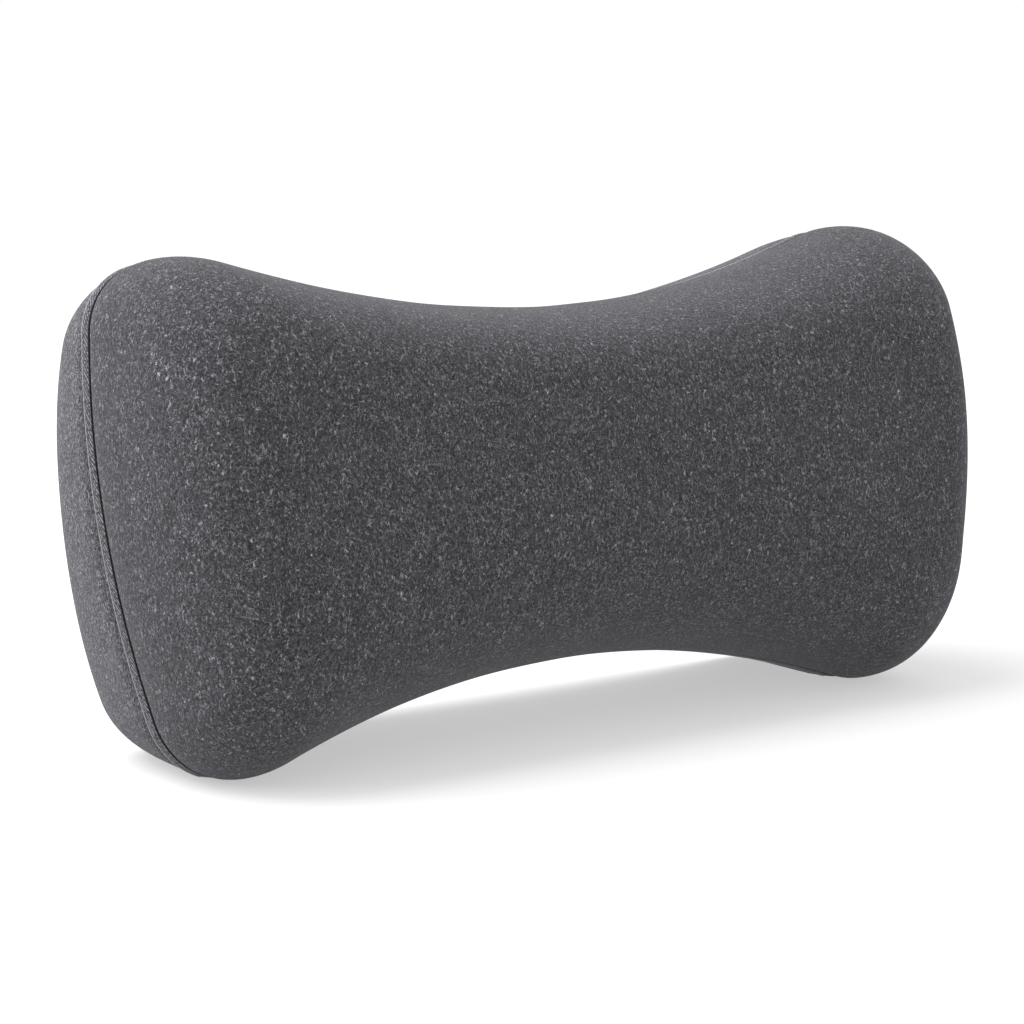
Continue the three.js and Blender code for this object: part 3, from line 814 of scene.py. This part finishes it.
@dataclass
class FrontPanel:
    """The knit front: a soft cup from the seam over the roll to the crown."""

    shape: CushionShape
    cap_levels: int = 22
    roll_levels: int = 50
    curl_levels: int = 8
    curl_r: float = 0.6 * MM
    lump: float = 0.3 * MM
    cloth_cap: float = 0.6 * MM
    dip_reach: float = 0.045
    ease_share: float = 0.25
    cage_levels: Tuple[int, int, int] = (8, 18, 2)
    press_frames: int = 20
    smoothing_passes: int = 14

    def levels(self, cap: int, roll: int, curl: int) -> Tuple[Array, Array, Array]:
        """Profile values from the crown's middle out to the seam's inner edge.

        The cap shrinks to the middle; the roll takes s = sin(a)^(2/p) at even angles, so that
        its steps are even; the curl is a quarter circle into the seam and a short wall.

        Args:
            cap: Steps across the crown.
            roll: Steps over the roll.
            curl: Steps into the seam.

        Returns:
            Cap scale, depth share and inset for each level.
        """
        depth = self.shape.front_depth - self.shape.seam_half
        edge = self.curl_r / depth
        power = self.shape.front_power
        last = math.asin(edge ** (power / 2.0))
        angles = np.linspace(math.pi / 2.0, last, roll + 1)
        shares = np.sin(angles) ** (2.0 / power)
        bend = np.linspace(0.0, math.pi / 2.0, curl)[1:]
        curl_share = edge * (1.0 - np.sin(bend))
        curl_inset = self.curl_r * (1.0 - np.cos(bend))
        scale = np.concatenate((np.linspace(0.0, 1.0, cap + 1)[:-1], np.ones(roll + curl + 1)))
        share = np.concatenate((np.ones(cap), shares, curl_share, [0.0]))
        inset = np.concatenate((np.zeros(cap + roll + 1), curl_inset, [self.shape.cover_t]))
        return scale, share, inset

    @staticmethod
    def squares(count: int) -> Tuple[Array, Array, Array]:
        """A square grid's two steps from its middle and the concentric square of each point."""
        a, b = np.meshgrid(np.arange(-count, count + 1), np.arange(-count, count + 1), indexing="ij")
        return a, b, np.maximum(np.abs(a), np.abs(b))

    def sheet(self, scale: Array, share: Array, inset: Array, layer: float) -> Array:
        """The panel over a square grid whose concentric squares are the profile's levels.

        A grid point's level is max(|a|, |b|); its place along that square goes from the top of
        the waist to the lobe on the long sides and from the lobe to the end on the short ones.
        Beside the seam the outer face sinks by dip * exp(-s / reach), as sewn padding does.

        Args:
            scale: Cap scale of each level.
            share: Depth share of each level.
            inset: Outline inset of each level.
            layer: The layer's inset under the outer face.

        Returns:
            N x N x 3 points in the cushion's own frame.
        """
        a, b, level = self.squares(len(scale) - 1)
        safe = np.maximum(level, 1)
        middle = self.shape.lobe_share()
        long_side = middle * np.abs(a) / safe
        short_side = 1.0 - (1.0 - middle) * np.abs(b) / safe
        along = np.where(np.abs(b) >= np.abs(a), long_side, short_side)
        dip = np.where(layer == 0.0, self.shape.seam_dip, 0.0) * np.exp(-share / self.dip_reach)
        here = inset[level] + layer + dip[level]
        x, z = self.shape.quarter(along, here)
        x = np.where(a < 0, -x, x)
        z = np.where(b < 0, -z, z)
        points = self.shape.front(share[level], x, z, np.full_like(x, layer), here)
        points[..., 1] += (self.shape.seam_half - self.shape.line_half) * (1.0 - share[level])
        pole = np.array([0.0, -self.shape.front_depth + layer, self.shape.crown_rise])
        size = scale[level][..., None]
        points = pole + (points - pole) * size
        bulge = self.shape.crown_bulge * (1.0 - scale[level] ** 2) ** 2
        points[..., 1] -= bulge
        return points

    def pressed_moves(self) -> Array:
        """Moves of a coarse panel of cloth, pinned round its seam, that the foam presses out.

        A move of size m is held to cap * m / (cap + m), so that the roll keeps its form.
        The rim has no doubled points, because a spring of no length stops the cloth's solver.

        Returns:
            N x N x 3 moves in metres over the coarse panel's square grid.
        """
        scale, share, _ = (level[:-1] for level in self.levels(*self.cage_levels))
        rest = self.shape.stood(self.sheet(scale, share, np.zeros_like(scale), 0.0))
        rows = rest.shape[0]
        faces, _ = lattice(rows, rows, False, False)
        mesh = bpy.data.meshes.new("panel_cage")
        mesh.from_pydata(rest.reshape(-1, 3).tolist(), [], faces.tolist())
        cage = linked("panel_cage", mesh)
        scene = bpy.context.scene
        pinned = cage.vertex_groups.new(name="seam")
        index = np.arange(rows * rows).reshape(rows, rows)
        rim = np.ones((rows, rows), dtype=bool)
        rim[2:-2, 2:-2] = False
        pinned.add(index[rim].tolist(), 1.0, "REPLACE")
        cloth = cage.modifiers.new("pressed", "CLOTH")
        for setting, value in KNIT_CLOTH.items():
            setattr(cloth.settings, setting, value)
        cloth.settings.vertex_group_mass = "seam"
        cloth.settings.effector_weights.gravity = 0.0
        cloth.collision_settings.use_collision = False
        for frame in range(1, self.press_frames + 1):
            scene.frame_set(frame)
        held = cage.evaluated_get(bpy.context.evaluated_depsgraph_get())
        moved = np.empty(rows * rows * 3, dtype=np.float32)
        held.data.vertices.foreach_get("co", moved)
        scene.frame_set(1)
        bpy.data.objects.remove(cage)
        move = moved.reshape(rows, rows, 3) - rest
        if not np.isfinite(move).all():
            LOG.warning("the pressed cloth didn't settle, so its moves are left out")
            return np.zeros_like(rest)
        size = np.linalg.norm(move, axis=-1, keepdims=True)
        most, mean = size.max() / MM, size.mean() / MM
        LOG.info("pressed cloth moved %.2f mm at most and %.2f mm on average", most, mean)
        return move * self.cloth_cap / (self.cloth_cap + size)

    def resampled(self, field_: Array, count: int) -> Array:
        """Reads a square grid's field at count x count places and rounds off its steps.

        Places between the coarse points are straight mixes; then each pass takes
        (before + 2 * here + after) / 4 along both directions.
        """
        rows = field_.shape[0]
        where = np.linspace(0.0, rows - 1.0, count)
        low = np.minimum(where.astype(int), rows - 2)
        part = (where - low)[:, None, None]
        once = field_[low] * (1.0 - part) + field_[low + 1] * part
        part = (where - low)[None, :, None]
        fine = once[:, low] * (1.0 - part) + once[:, low + 1] * part
        for _ in range(self.smoothing_passes):
            for axis in (0, 1):
                wide = np.concatenate((fine.take([0], axis), fine, fine.take([-1], axis)), axis=axis)
                ahead = wide.take(range(2, count + 2), axis)
                behind = wide.take(range(count), axis)
                fine = (behind + 2.0 * fine + ahead) / 4.0
        return fine

    def build(self, finishes: Wardrobe) -> bpy.types.Object:
        """Makes the panel with its inner face, pressed out everywhere but beside its seam."""
        scale, share, inset = self.levels(self.cap_levels, self.roll_levels, self.curl_levels)
        outer = self.sheet(scale, share, inset, 0.0)
        inner = self.sheet(scale, share, np.zeros_like(inset), self.shape.cover_t)
        rows = outer.shape[0]
        faces, _ = lattice(rows, rows, False, False)
        outer = self.shape.stood(outer)
        inner = self.shape.stood(inner)
        ease = np.clip(share, 0.0, self.ease_share) / self.ease_share
        ease = ease[self.squares(len(scale) - 1)[2]][..., None]
        normal = np.cross(np.gradient(outer, axis=0), np.gradient(outer, axis=1))
        normal /= np.maximum(np.linalg.norm(normal, axis=-1, keepdims=True), 1e-12)
        waves = smooth_waves(outer, (0.19, 0.13, 0.11, 0.07, 0.05, 0.04), 11)[..., None]
        push = self.resampled(self.pressed_moves(), rows)
        outer = outer + ease * (push + normal * waves * self.lump)
        points = np.concatenate((outer.reshape(-1, 3), inner.reshape(-1, 3)))
        faces = np.concatenate((faces, faces[:, ::-1] + rows * rows))
        piece = new_piece("front_panel", *welded(points, faces))
        stand_for(piece, finishes.cover, "cushion", "cover_knit", "front_cover")
        return piece


@dataclass
class SideStrips:
    """The narrow bias band beside the seam and the rear side wall behind it."""

    shape: CushionShape
    around: int = 760
    curl_r: float = 0.45 * MM
    ridge: float = 0.38 * MM
    ridge_half: float = 0.3 * MM
    face_dome: float = 0.15 * MM
    wall_lump: float = 0.4 * MM
    thread_steps: int = 2600
    thread_sides: int = 5
    ply_off: float = 0.13 * MM
    ply_r: float = 0.21 * MM
    twist: float = 2.4 * MM

    def ring_map(self, profile: Array) -> Tuple[Array, Array, Array]:
        """Faces and weave places of a closed strip.

        Args:
            profile: P x 2 section places, used for the length across the strip.

        Returns:
            Turn values, faces and the corners' weave places in metres.
        """
        turn = np.arange(self.around) / self.around
        rows = len(profile)
        faces, steps = lattice(self.around, rows, True, True)
        across = run_lengths(np.vstack((profile, profile[:1])))
        whole = 4.0 * float(self.shape.arc_lengths().sum())
        uv = np.stack((steps[..., 0] / self.around * whole, across[steps[..., 1]]), axis=-1)
        return turn, faces, uv

    def band(self) -> bpy.types.Object:
        """The band: a curl into the seam, a slightly domed face and a proud rear edge."""
        shape = self.shape
        start, end = shape.line_half, shape.band_depth - FIT_HALF
        bend = np.linspace(0.0, math.pi / 2.0, 7)
        curl = self.curl_r * (1.0 - np.stack((np.cos(bend), np.sin(bend)), axis=-1))
        curl[:, 0] += start
        face_y = np.linspace(start + self.curl_r, end - 0.9 * MM, 8)[1:]
        part = (face_y - start) / (end - start)
        face = np.stack((face_y, -self.face_dome * np.sin(math.pi * part)), axis=-1)
        ridge_turn = np.linspace(0.0, math.pi, 8)
        ridge_y = end - self.ridge_half * (1.0 + np.cos(ridge_turn))
        ridge = np.stack((ridge_y, -self.ridge * np.sin(ridge_turn)), axis=-1)
        back = np.array([(end, 1.6 * MM), (end, shape.cover_t), (start, shape.cover_t)])
        outer = np.vstack((curl, face, ridge)) + np.array([0.0, shape.seam_dip])
        profile = np.vstack((outer, back))
        turn, faces, uv = self.ring_map(profile)
        t, y = np.meshgrid(turn, profile[:, 0], indexing="ij")
        inset = np.broadcast_to(profile[:, 1], t.shape)
        x, z = shape.loop(t, inset)
        own = np.stack(shape.settled(shape.flare(x, z), y, z, np.maximum(inset, 0.0)), axis=-1)
        piece = new_piece("bias_band", shape.stood(own).reshape(-1, 3), faces, uv)
        across = run_lengths(profile)
        first = len(curl) + len(face)
        ends = (float(across[first]), float(across[first + len(ridge) - 2]))
        # The band's finish paints shade over the curl into the seam and a highlight along the rear ridge.
        finish = BiasFinish("band_knit_finish", float(across[len(curl) - 1]), *ends)
        stand_for(piece, finish.material(), "cushion", "band_knit", "edge_band")
        return piece

    def gusset(self, finishes: Wardrobe) -> bpy.types.Object:
        """The side wall: out of the band's edge, over the rear roll and in at the back seam."""
        shape = self.shape
        power = shape.rear_power
        start = FIT_HALF / shape.rear_depth
        first = math.asin(start ** (power / 2.0))
        outer = np.sin(np.linspace(first, math.pi / 2.0, 40)) ** (2.0 / power)
        outer = np.maximum(outer, start)
        inner = outer[::-1]
        share = np.concatenate((outer, inner))
        layer = np.concatenate((np.zeros(len(outer)), np.full(len(inner), shape.cover_t)))
        rounding = np.where(np.arange(len(share)) == 0, 0.5 * MM, 0.0)
        profile = np.stack((share * shape.rear_depth, layer), axis=-1)
        turn, faces, uv = self.ring_map(profile)
        t, s = np.meshgrid(turn, share, indexing="ij")
        inset = np.broadcast_to(layer + rounding, t.shape)
        depth = np.broadcast_to(layer, t.shape)
        x, z = shape.loop(t, inset)
        own = shape.rear(s, x, z, depth, inset)
        points = shape.stood(own)
        outward = np.zeros_like(points)
        outward[..., 0] = x / shape.half_width
        outward[..., 2] = z / shape.half_height
        outward /= np.maximum(np.linalg.norm(outward, axis=-1, keepdims=True), 1e-9)
        fade = (np.sin(math.pi * np.clip(s, 0.0, 1.0)) * (inset < MM))[..., None]
        waves = smooth_waves(points, (0.16, 0.09, 0.06, 0.05), 5)[..., None]
        low = np.clip((points[..., 2:3] - 6 * MM) / (10 * MM), 0.0, 1.0)
        points = points + outward * waves * fade * low * self.wall_lump
        piece = new_piece("side_wall", points.reshape(-1, 3), faces, uv)
        stand_for(piece, finishes.side, "cushion", "cover_knit", "rear_gusset")
        return piece

    def seam_thread(self, name: str, node: str, path: Array, outward: Array, finishes: Wardrobe) -> None:
        """A two-ply thread laid round a seam's groove.

        Each ply's centre is path + r * (cos(k t) * outward + sin(k t) * beside), half a turn
        from the other's.

        Args:
            name: The piece's name.
            node: The solid that it stands for.
            path: K x 3 closed centre line.
            outward: K x 3 unit vectors out of the groove.
            finishes: The finishes.
        """
        along = np.roll(path, -1, axis=0) - np.roll(path, 1, axis=0)
        length = float(np.linalg.norm(np.roll(path, -1, axis=0) - path, axis=1).sum())
        beside = np.cross(along, outward)
        beside /= np.linalg.norm(beside, axis=1, keepdims=True)
        turns = round(length / self.twist)
        phase = np.arange(len(path)) / len(path) * turns * 2.0 * math.pi
        points, faces = [], []
        sides = self.thread_sides
        for ply in range(2):
            angle = (phase + ply * math.pi)[:, None]
            centre = path + self.ply_off * (np.cos(angle) * outward + np.sin(angle) * beside)
            section = np.arange(sides) * 2.0 * math.pi / sides
            wide = np.cos(section)[None, :, None] * outward[:, None, :]
            high = np.sin(section)[None, :, None] * beside[:, None, :]
            points.append((centre[:, None, :] + self.ply_r * (wide + high)).reshape(-1, 3))
            faces.append(lattice(len(path), sides, True, True)[0] + ply * len(path) * sides)
        piece = new_piece(name, np.concatenate(points), np.concatenate(faces))
        stand_for(piece, finishes.thread, "cushion", "seam_thread", node)

    def threads(self, finishes: Wardrobe) -> None:
        """The front and rear seams' threads."""
        shape = self.shape
        turn = np.arange(self.thread_steps) / self.thread_steps
        drop = np.full_like(turn, 0.75 * MM + shape.seam_dip)
        x, z = shape.loop(turn, drop)
        own = np.stack(shape.settled(shape.flare(x, z), np.zeros_like(x), z, drop), axis=-1)
        x1, z1 = shape.loop(turn, drop - 0.5 * MM)
        out = np.stack((shape.flare(x1, z1) - shape.flare(x, z), np.zeros_like(x), z1 - z), axis=-1)
        out /= np.linalg.norm(out, axis=1, keepdims=True)
        front = shape.stood(own)
        base = shape.stood(np.zeros((1, 3)))
        out_world = shape.stood(out) - base
        self.seam_thread("front_seam_stitching", "front_seam_thread", front, out_world, finishes)
        ones = np.ones_like(turn)
        x, z = shape.loop(turn, 0.7 * MM * ones)
        rear = shape.rear(ones, x, z, 1.3 * MM * ones, 0.7 * MM * ones)
        out = np.zeros_like(rear)
        out[:, 1] = math.cos(shape.wedge)
        out[:, 2] = math.sin(shape.wedge)
        out_world = shape.stood(out) - base
        self.seam_thread("rear_seam_stitching", "rear_seam_thread", shape.stood(rear), out_world, finishes)


# ----------------------------------------------------------------- zip back


@dataclass
class ZippedBack:
    """The flat back: two panels folded along a zip, with its coils, tacks, slider and pull."""

    shape: CushionShape
    nodes: dict
    slot_half: float = 6 * MM
    zip_half: float = 150 * MM
    coil_half: float = 147.7 * MM
    coil_bottom: float = -2.5 * MM
    coil_top: float = -0.3 * MM
    coil_near: float = 0.28 * MM
    coil_far: float = 3.1 * MM
    coil_pitch: float = 1.6 * MM
    seam_gap: float = 1.4 * MM
    steps_along: int = 420
    steps_across: int = 46
    fold_r: float = 1.2 * MM
    curl_r: float = 0.9 * MM
    dome: float = 0.5 * MM
    stitch_line: float = 2.6 * MM
    stitch_pitch: float = 3.2 * MM
    stitch_length: float = 2.5 * MM
    stitch_r: float = 0.27 * MM
    stitch_rise: float = 0.25 * MM
    valley_deep: float = 0.3 * MM
    valley_wide: float = 0.9 * MM
    wire_r: float = 0.36 * MM
    steps_a_turn: int = 14
    tack_passes: int = 5
    tack_pitch: float = 0.39 * MM
    tack_lean: float = 0.12 * MM
    tack_half: float = 4.4 * MM

    def panel(self, side: Side, finishes: Wardrobe) -> bpy.types.Object:
        """One back panel, from its fold at the zip to its sewn rim.

        Rows run from the zip's edge to the rim: the place is near + (far - near) * v, and the
        face's height follows a rounded fold at the zip, a slight dome and a curl at the rim.

        Args:
            side: Above or below the zip.
            finishes: The finishes.

        Returns:
            The panel.
        """
        shape, up = self.shape, float(side.value)
        count = self.steps_along
        t = np.linspace(-1.0, 1.0, count)
        turn = 0.25 * t if side is Side.UPPER else 0.5 - 0.25 * t
        gap = np.full_like(t, self.seam_gap)
        x, z = shape.loop(turn, gap)
        rim = shape.rear(np.ones_like(t), x, z, np.zeros_like(t), gap)
        far_x, far_z = rim[:, 0], rim[:, 2] / math.cos(shape.wedge)
        far_z = up * np.maximum(up * far_z, FIT_HALF)
        edge = np.abs(far_x).max()
        near_x = np.sign(t) * np.minimum(np.abs(t) ** 0.9 * edge * 1.02, np.abs(far_x).max() - 0.2 * MM)
        near_x = np.where(np.abs(near_x) > np.abs(far_x), far_x, near_x)
        open_share = 1.0 / (1.0 + np.exp((np.abs(near_x) - self.zip_half) / (0.25 * MM)))
        near_z = up * (FIT_HALF + (self.slot_half - FIT_HALF) * open_share)
        near_z = up * np.minimum(up * near_z, up * far_z)
        v = 0.5 - 0.5 * np.cos(np.linspace(0.0, math.pi, self.steps_across))
        run = np.hypot(far_x - near_x, far_z - near_z)[:, None]
        away = v[None, :] * run
        back = (1.0 - v)[None, :] * run
        fold, curl = self.fold_r, self.curl_r
        fold_low = fold - np.sqrt(np.maximum(0.0, fold ** 2 - np.maximum(0.0, fold - away) ** 2))
        curl_low = curl - np.sqrt(np.maximum(0.0, curl ** 2 - np.maximum(0.0, curl - back) ** 2))
        dome = self.dome * np.sin(math.pi * v)[None, :] * np.clip(run / (60 * MM), 0.0, 1.0)
        valley = np.exp(-((away - self.stitch_line) / self.valley_wide) ** 2)
        stitch = self.valley_deep * valley * open_share[:, None]
        px = near_x[:, None] + (far_x - near_x)[:, None] * v
        pz = near_z[:, None] + (far_z - near_z)[:, None] * v
        top = np.stack((px, dome - fold_low - curl_low - stitch, pz), axis=-1)
        bottom = np.stack((px, np.full_like(px, -shape.cover_t), pz), axis=-1)
        ring = np.concatenate((top, bottom[:, ::-1]), axis=1)
        faces, _ = lattice(count, ring.shape[1], False, True)
        points = shape.on_back(ring)
        ends = []
        rows = ring.shape[1] // 2
        for first in (0, (count - 1) * ring.shape[1]):
            near = first + np.arange(rows - 1)
            far = first + 2 * rows - 1 - np.arange(rows - 1)
            quad = np.stack((near, near + 1, far - 1, far), axis=-1)
            ends.append(quad if first else quad[:, ::-1])
        faces = np.concatenate([faces, *ends])
        piece = new_piece("back_panel_" + side.word, *welded(points.reshape(-1, 3), faces))
        stand_for(piece, finishes.side, "cushion", "cover_knit", "rear_panel_" + side.word)
        return piece

    def stitch_row(self, starts: Array, ends: Array, y: float) -> Tuple[Array, Array]:
        """A row of sewn stitches, each a small arc of thread between two needle holes.

        A stitch's centre line rises as sin(pi w) over its length, and its section is a ring of
        six points that closes at both ends.

        Args:
            starts: K x 2 first holes, X and Z on the back face.
            ends: K x 2 last holes.
            y: The cloth's height at the holes.

        Returns:
            Points in the row's frame and faces.
        """
        w = np.linspace(0.0, 1.0, 6)
        size = self.stitch_r * np.sqrt(np.maximum(0.02, 1.0 - (2.0 * w - 1.0) ** 6))
        along = ends - starts
        unit = along / np.linalg.norm(along, axis=1, keepdims=True)
        angle = np.arange(RING) * 2.0 * math.pi / RING
        side_x = -unit[:, 1][:, None, None] * np.cos(angle) * size[:, None]
        side_z = unit[:, 0][:, None, None] * np.cos(angle) * size[:, None]
        x = starts[:, 0][:, None, None] + along[:, 0][:, None, None] * w[:, None] + side_x
        z = starts[:, 1][:, None, None] + along[:, 1][:, None, None] * w[:, None] + side_z
        rise = y + self.stitch_rise * np.sin(math.pi * w)[:, None] + np.sin(angle) * size[:, None]
        points = np.stack((x, np.broadcast_to(rise, x.shape), z), axis=-1)
        stitches, steps, sides = points.shape[:3]
        faces = tube_faces(steps)[None] + (np.arange(stitches) * steps * sides)[:, None, None]
        return self.shape.on_back(points).reshape(-1, 3), faces.reshape(-1, 4)

    def topstitching(self, finishes: Wardrobe) -> bpy.types.Object:
        """The line of stitches that holds each folded edge to the zip's tape."""
        pitch, length = self.stitch_pitch, self.stitch_length
        line = self.slot_half + self.stitch_line
        first = np.arange(-self.zip_half + 1 * MM, self.zip_half - length, pitch)
        rows = []
        for side in Side:
            z = np.full_like(first, side.value * line)
            rows.append((np.stack((first, z), axis=-1), np.stack((first + length, z), axis=-1)))
        across = np.arange(-line + 0.4 * MM, line - length, pitch)
        for end in (-1.0, 1.0):
            x = np.full_like(across, end * (self.zip_half + self.stitch_line))
            rows.append((np.stack((x, across), axis=-1), np.stack((x, across + length), axis=-1)))
        starts = np.concatenate([row[0] for row in rows])
        ends = np.concatenate([row[1] for row in rows])
        piece = new_piece("zip_topstitching", *self.stitch_row(starts, ends, -self.stitch_rise))
        stand_for(piece, finishes.thread, "cushion", "seam_thread")
        return piece

    def coil(self, side: Side, finishes: Wardrobe) -> bpy.types.Object:
        """One row of the zip's teeth: a nylon wire wound in a flattened helix.

        The wire's centre is x = pitch * t, with z and y on a rounded rectangle of the coil's
        section: z from near to far as cos to the power 0.6, and y from bottom to top as sin to
        the power 0.7.

        Args:
            side: Above or below the chain's middle.
            finishes: The finishes.

        Returns:
            The coil.
        """
        wire = self.wire_r
        turns = int(2.0 * (self.coil_half - wire) / self.coil_pitch)
        t = np.linspace(0.0, turns, turns * self.steps_a_turn + 1)
        phase = 2.0 * math.pi * t + (0.0 if side is Side.UPPER else math.pi)
        half_z = (self.coil_far - self.coil_near) / 2.0 - wire
        half_y = (self.coil_top - self.coil_bottom) / 2.0 - wire
        round_z = np.sign(np.cos(phase)) * np.abs(np.cos(phase)) ** 0.6
        round_y = np.sign(np.sin(phase)) * np.abs(np.sin(phase)) ** 0.7
        x = (t - turns / 2.0) * self.coil_pitch
        z = side.value * ((self.coil_far + self.coil_near) / 2.0 + half_z * round_z)
        y = (self.coil_top + self.coil_bottom) / 2.0 + half_y * round_y
        path = np.stack((x, y, z), axis=-1)
        normal = np.broadcast_to(np.array([1.0, 0.0, 0.0]), path.shape)
        ring = self.shape.on_back(tube_points(path, normal, wire, wire, RING)).reshape(-1, 3)
        piece = new_piece("coil_teeth_" + side.word, ring, tube_faces(len(path)))
        stand_for(piece, finishes.nylon, "cushion", "zip_coil", "zip_coil_" + side.word)
        return piece

    def tack(self, end: float, finishes: Wardrobe) -> bpy.types.Object:
        """A bar tack: close passes of thread across the chain's end."""
        word = "right" if end > 0 else "left"
        passes = self.tack_passes
        x = end * (self.zip_half - self.stitch_r - np.arange(passes) * self.tack_pitch)
        lean = self.tack_lean * np.where(np.arange(passes) % 2 == 0, 1.0, -1.0)
        starts = np.stack((x - lean, np.full(passes, -self.tack_half)), axis=-1)
        ends = np.stack((x + lean, np.full(passes, self.tack_half)), axis=-1)
        points, faces = self.stitch_row(starts, ends, self.coil_bottom + 0.35 * MM)
        piece = new_piece("tack_threads_" + word, points, faces)
        stand_for(piece, finishes.thread, "cushion", "seam_thread", "zip_bar_tack_" + word)
        return piece

    def metal(self, node: str, name: str, body: str, bevel: float, finishes: Wardrobe) -> bpy.types.Object:
        """A cast piece of the zip: the solid's own form with its edges rounded.

        Args:
            node: The solid to copy.
            name: The piece's name.
            body: The body that it moves with.
            bevel: The rounding's width.
            finishes: The finishes.

        Returns:
            The piece.
        """
        solid = self.nodes[node]
        source = solid.data
        coords = np.empty(len(source.vertices) * 3)
        source.vertices.foreach_get("co", coords)
        corners = np.empty(len(source.loops), dtype=int)
        source.loops.foreach_get("vertex_index", corners)
        points = coords.reshape(-1, 3) @ np.array(solid.matrix_world.to_3x3()).T
        points = points + np.array(solid.matrix_world.translation)
        points, triangles = welded(points, corners.reshape(-1, 3), 1e-3 * MM)
        mesh = bpy.data.meshes.new(name)
        mesh.from_pydata(points.tolist(), [], triangles.tolist())
        mesh.validate()
        mesh.update()
        piece = linked(name, mesh)
        rounding = piece.modifiers.new("rounded_edges", "BEVEL")
        rounding.width = bevel
        rounding.segments = 3
        rounding.limit_method = "ANGLE"
        rounding.angle_limit = math.radians(35.0)
        rounding.harden_normals = False
        mesh.polygons.foreach_set("use_smooth", np.ones(len(mesh.polygons), dtype=bool))
        stand_for(piece, finishes.zinc, body, "zip_metal", node)
        return piece

    def build(self, finishes: Wardrobe) -> None:
        """Makes the whole back."""
        for side in Side:
            self.panel(side, finishes)
            self.coil(side, finishes)
        for end in (-1.0, 1.0):
            self.tack(end, finishes)
        self.topstitching(finishes)
        self.metal("zip_slider", "slider_body", "slider", 0.22 * MM, finishes)
        self.metal("zip_pull_tab", "pull_leaf", "pull", 0.25 * MM, finishes)


# ------------------------------------------------------------------ studio


@dataclass(frozen=True)
class Lamp:
    """One soft square light aimed at the cushion's middle."""

    name: str
    place: Tuple[float, float, float]
    size: float
    watts: float
    target: Tuple[float, float, float] = (0.0, 0.0, 0.1)

    def build(self) -> None:
        """Hangs the light."""
        light = bpy.data.lights.new(self.name, "AREA")
        light.shape = "DISK"
        light.size = self.size
        light.energy = self.watts
        holder = linked(self.name, light)
        aim = Vector(self.target) - Vector(self.place)
        turn = aim.to_track_quat("-Z", "Y").to_matrix().to_4x4()
        holder.matrix_world = Matrix.Translation(Vector(self.place)) @ turn


@dataclass
class Studio:
    """A plain pale floor with a faint glow of its own, soft lights and the camera."""

    eye: Tuple[float, float, float] = (-0.72618, -0.96893, 0.27270)
    forward: Tuple[float, float, float] = (0.58264, 0.79839, -0.15197)
    lens: float = 105.47
    floor_size: float = 16.0
    sky: float = 1.0
    floor_tone: float = 0.42
    glow_near: float = 0.475
    glow_far: float = 0.58
    lamps: Tuple[Lamp, ...] = (
        Lamp("key_left", (-1.8, 0.35, 1.3), 1.6, 22.0),
        Lamp("top_soft", (-0.7, 0.5, 1.75), 1.8, 46.0),
    )

    def camera(self) -> None:
        """Sets the camera level, looking at the rolled front from the left."""
        data = bpy.data.cameras.new("view")
        data.lens = self.lens
        data.sensor_width = 36.0
        data.clip_start = 0.01
        data.clip_end = 60.0
        camera = linked("view", data)
        ahead = Vector(self.forward).normalized()
        right = ahead.cross(Vector((0.0, 0.0, 1.0))).normalized()
        up = right.cross(ahead)
        turn = Matrix((right, up, -ahead)).transposed().to_4x4()
        camera.matrix_world = Matrix.Translation(Vector(self.eye)) @ turn
        bpy.context.scene.camera = camera

    def floor(self) -> None:
        """Lays the floor at the height that the cushion stands on."""
        half = self.floor_size / 2.0
        mesh = bpy.data.meshes.new("floor")
        corners = [(-half, -half, 0.0), (half, -half, 0.0), (half, half, 0.0), (-half, half, 0.0)]
        mesh.from_pydata(corners, [], [(0, 1, 2, 3)])
        floor = linked("floor", mesh)
        bench = NodeBench("floor_paint")
        place = bench.place.outputs["Object"]
        # Painted light: the floor glows of its own to lift the cushion's shadows; the glow is dimmer within
        # 0.4 m of the middle and full beyond 1.4 m, so that the contact shadows show.
        reach = bench.node("ShaderNodeVectorMath", {0: place}, operation="LENGTH").outputs[1]
        glow = bench.ramp(reach, 0.4, 1.4, self.glow_near, self.glow_far)
        tone = (self.floor_tone, self.floor_tone, self.floor_tone)
        dress(floor, bench.finish(
            tone, 0.9, Specular_IOR_Level=0.0, Emission_Color=WHITE, Emission_Strength=glow))

    def build(self) -> None:
        """Sets up camera, floor, sky and lamps."""
        self.camera()
        self.floor()
        world = bpy.data.worlds.new("studio")
        bpy.context.scene.world = world
        world.use_nodes = True
        back = world.node_tree.nodes["Background"]
        back.inputs[0].default_value = WHITE
        back.inputs[1].default_value = self.sky
        for lamp in self.lamps:
            lamp.build()
        bpy.context.scene.view_settings.view_transform = "Standard"
        bpy.context.scene.view_settings.look = "None"


# -------------------------------------------------------------------- build


def dress_inner_parts(nodes: dict, finishes: Wardrobe) -> None:
    """Gives the solids that stay as they are their finishes.

    Args:
        nodes: The solids' objects by name.
        finishes: The finishes.
    """
    worn = {
        "liner_front": finishes.liner,
        "liner_rear": finishes.liner,
        "memory_foam_pad": finishes.soft_foam,
        "support_foam_base": finishes.firm_foam,
        "zip_tape_upper": finishes.tape,
        "zip_tape_lower": finishes.tape,
    }
    for name, material in worn.items():
        dress(nodes[name], material)
        LOG.info("%s keeps its solid and takes %s", name, material.name)


def main() -> None:
    """Builds the cushion over its frame."""
    logging.basicConfig(level=logging.INFO, format="%(name)s: %(message)s")
    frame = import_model()
    Studio().build()
    shape = CushionShape()
    finishes = Wardrobe()
    FrontPanel(shape).build(finishes)
    strips = SideStrips(shape)
    strips.band()
    strips.gusset(finishes)
    strips.threads(finishes)
    ZippedBack(shape, frame["nodes"]).build(finishes)
    dress_inner_parts(frame["nodes"], finishes)
    bpy.context.view_layer.update()


if __name__ == "__main__":
    main()
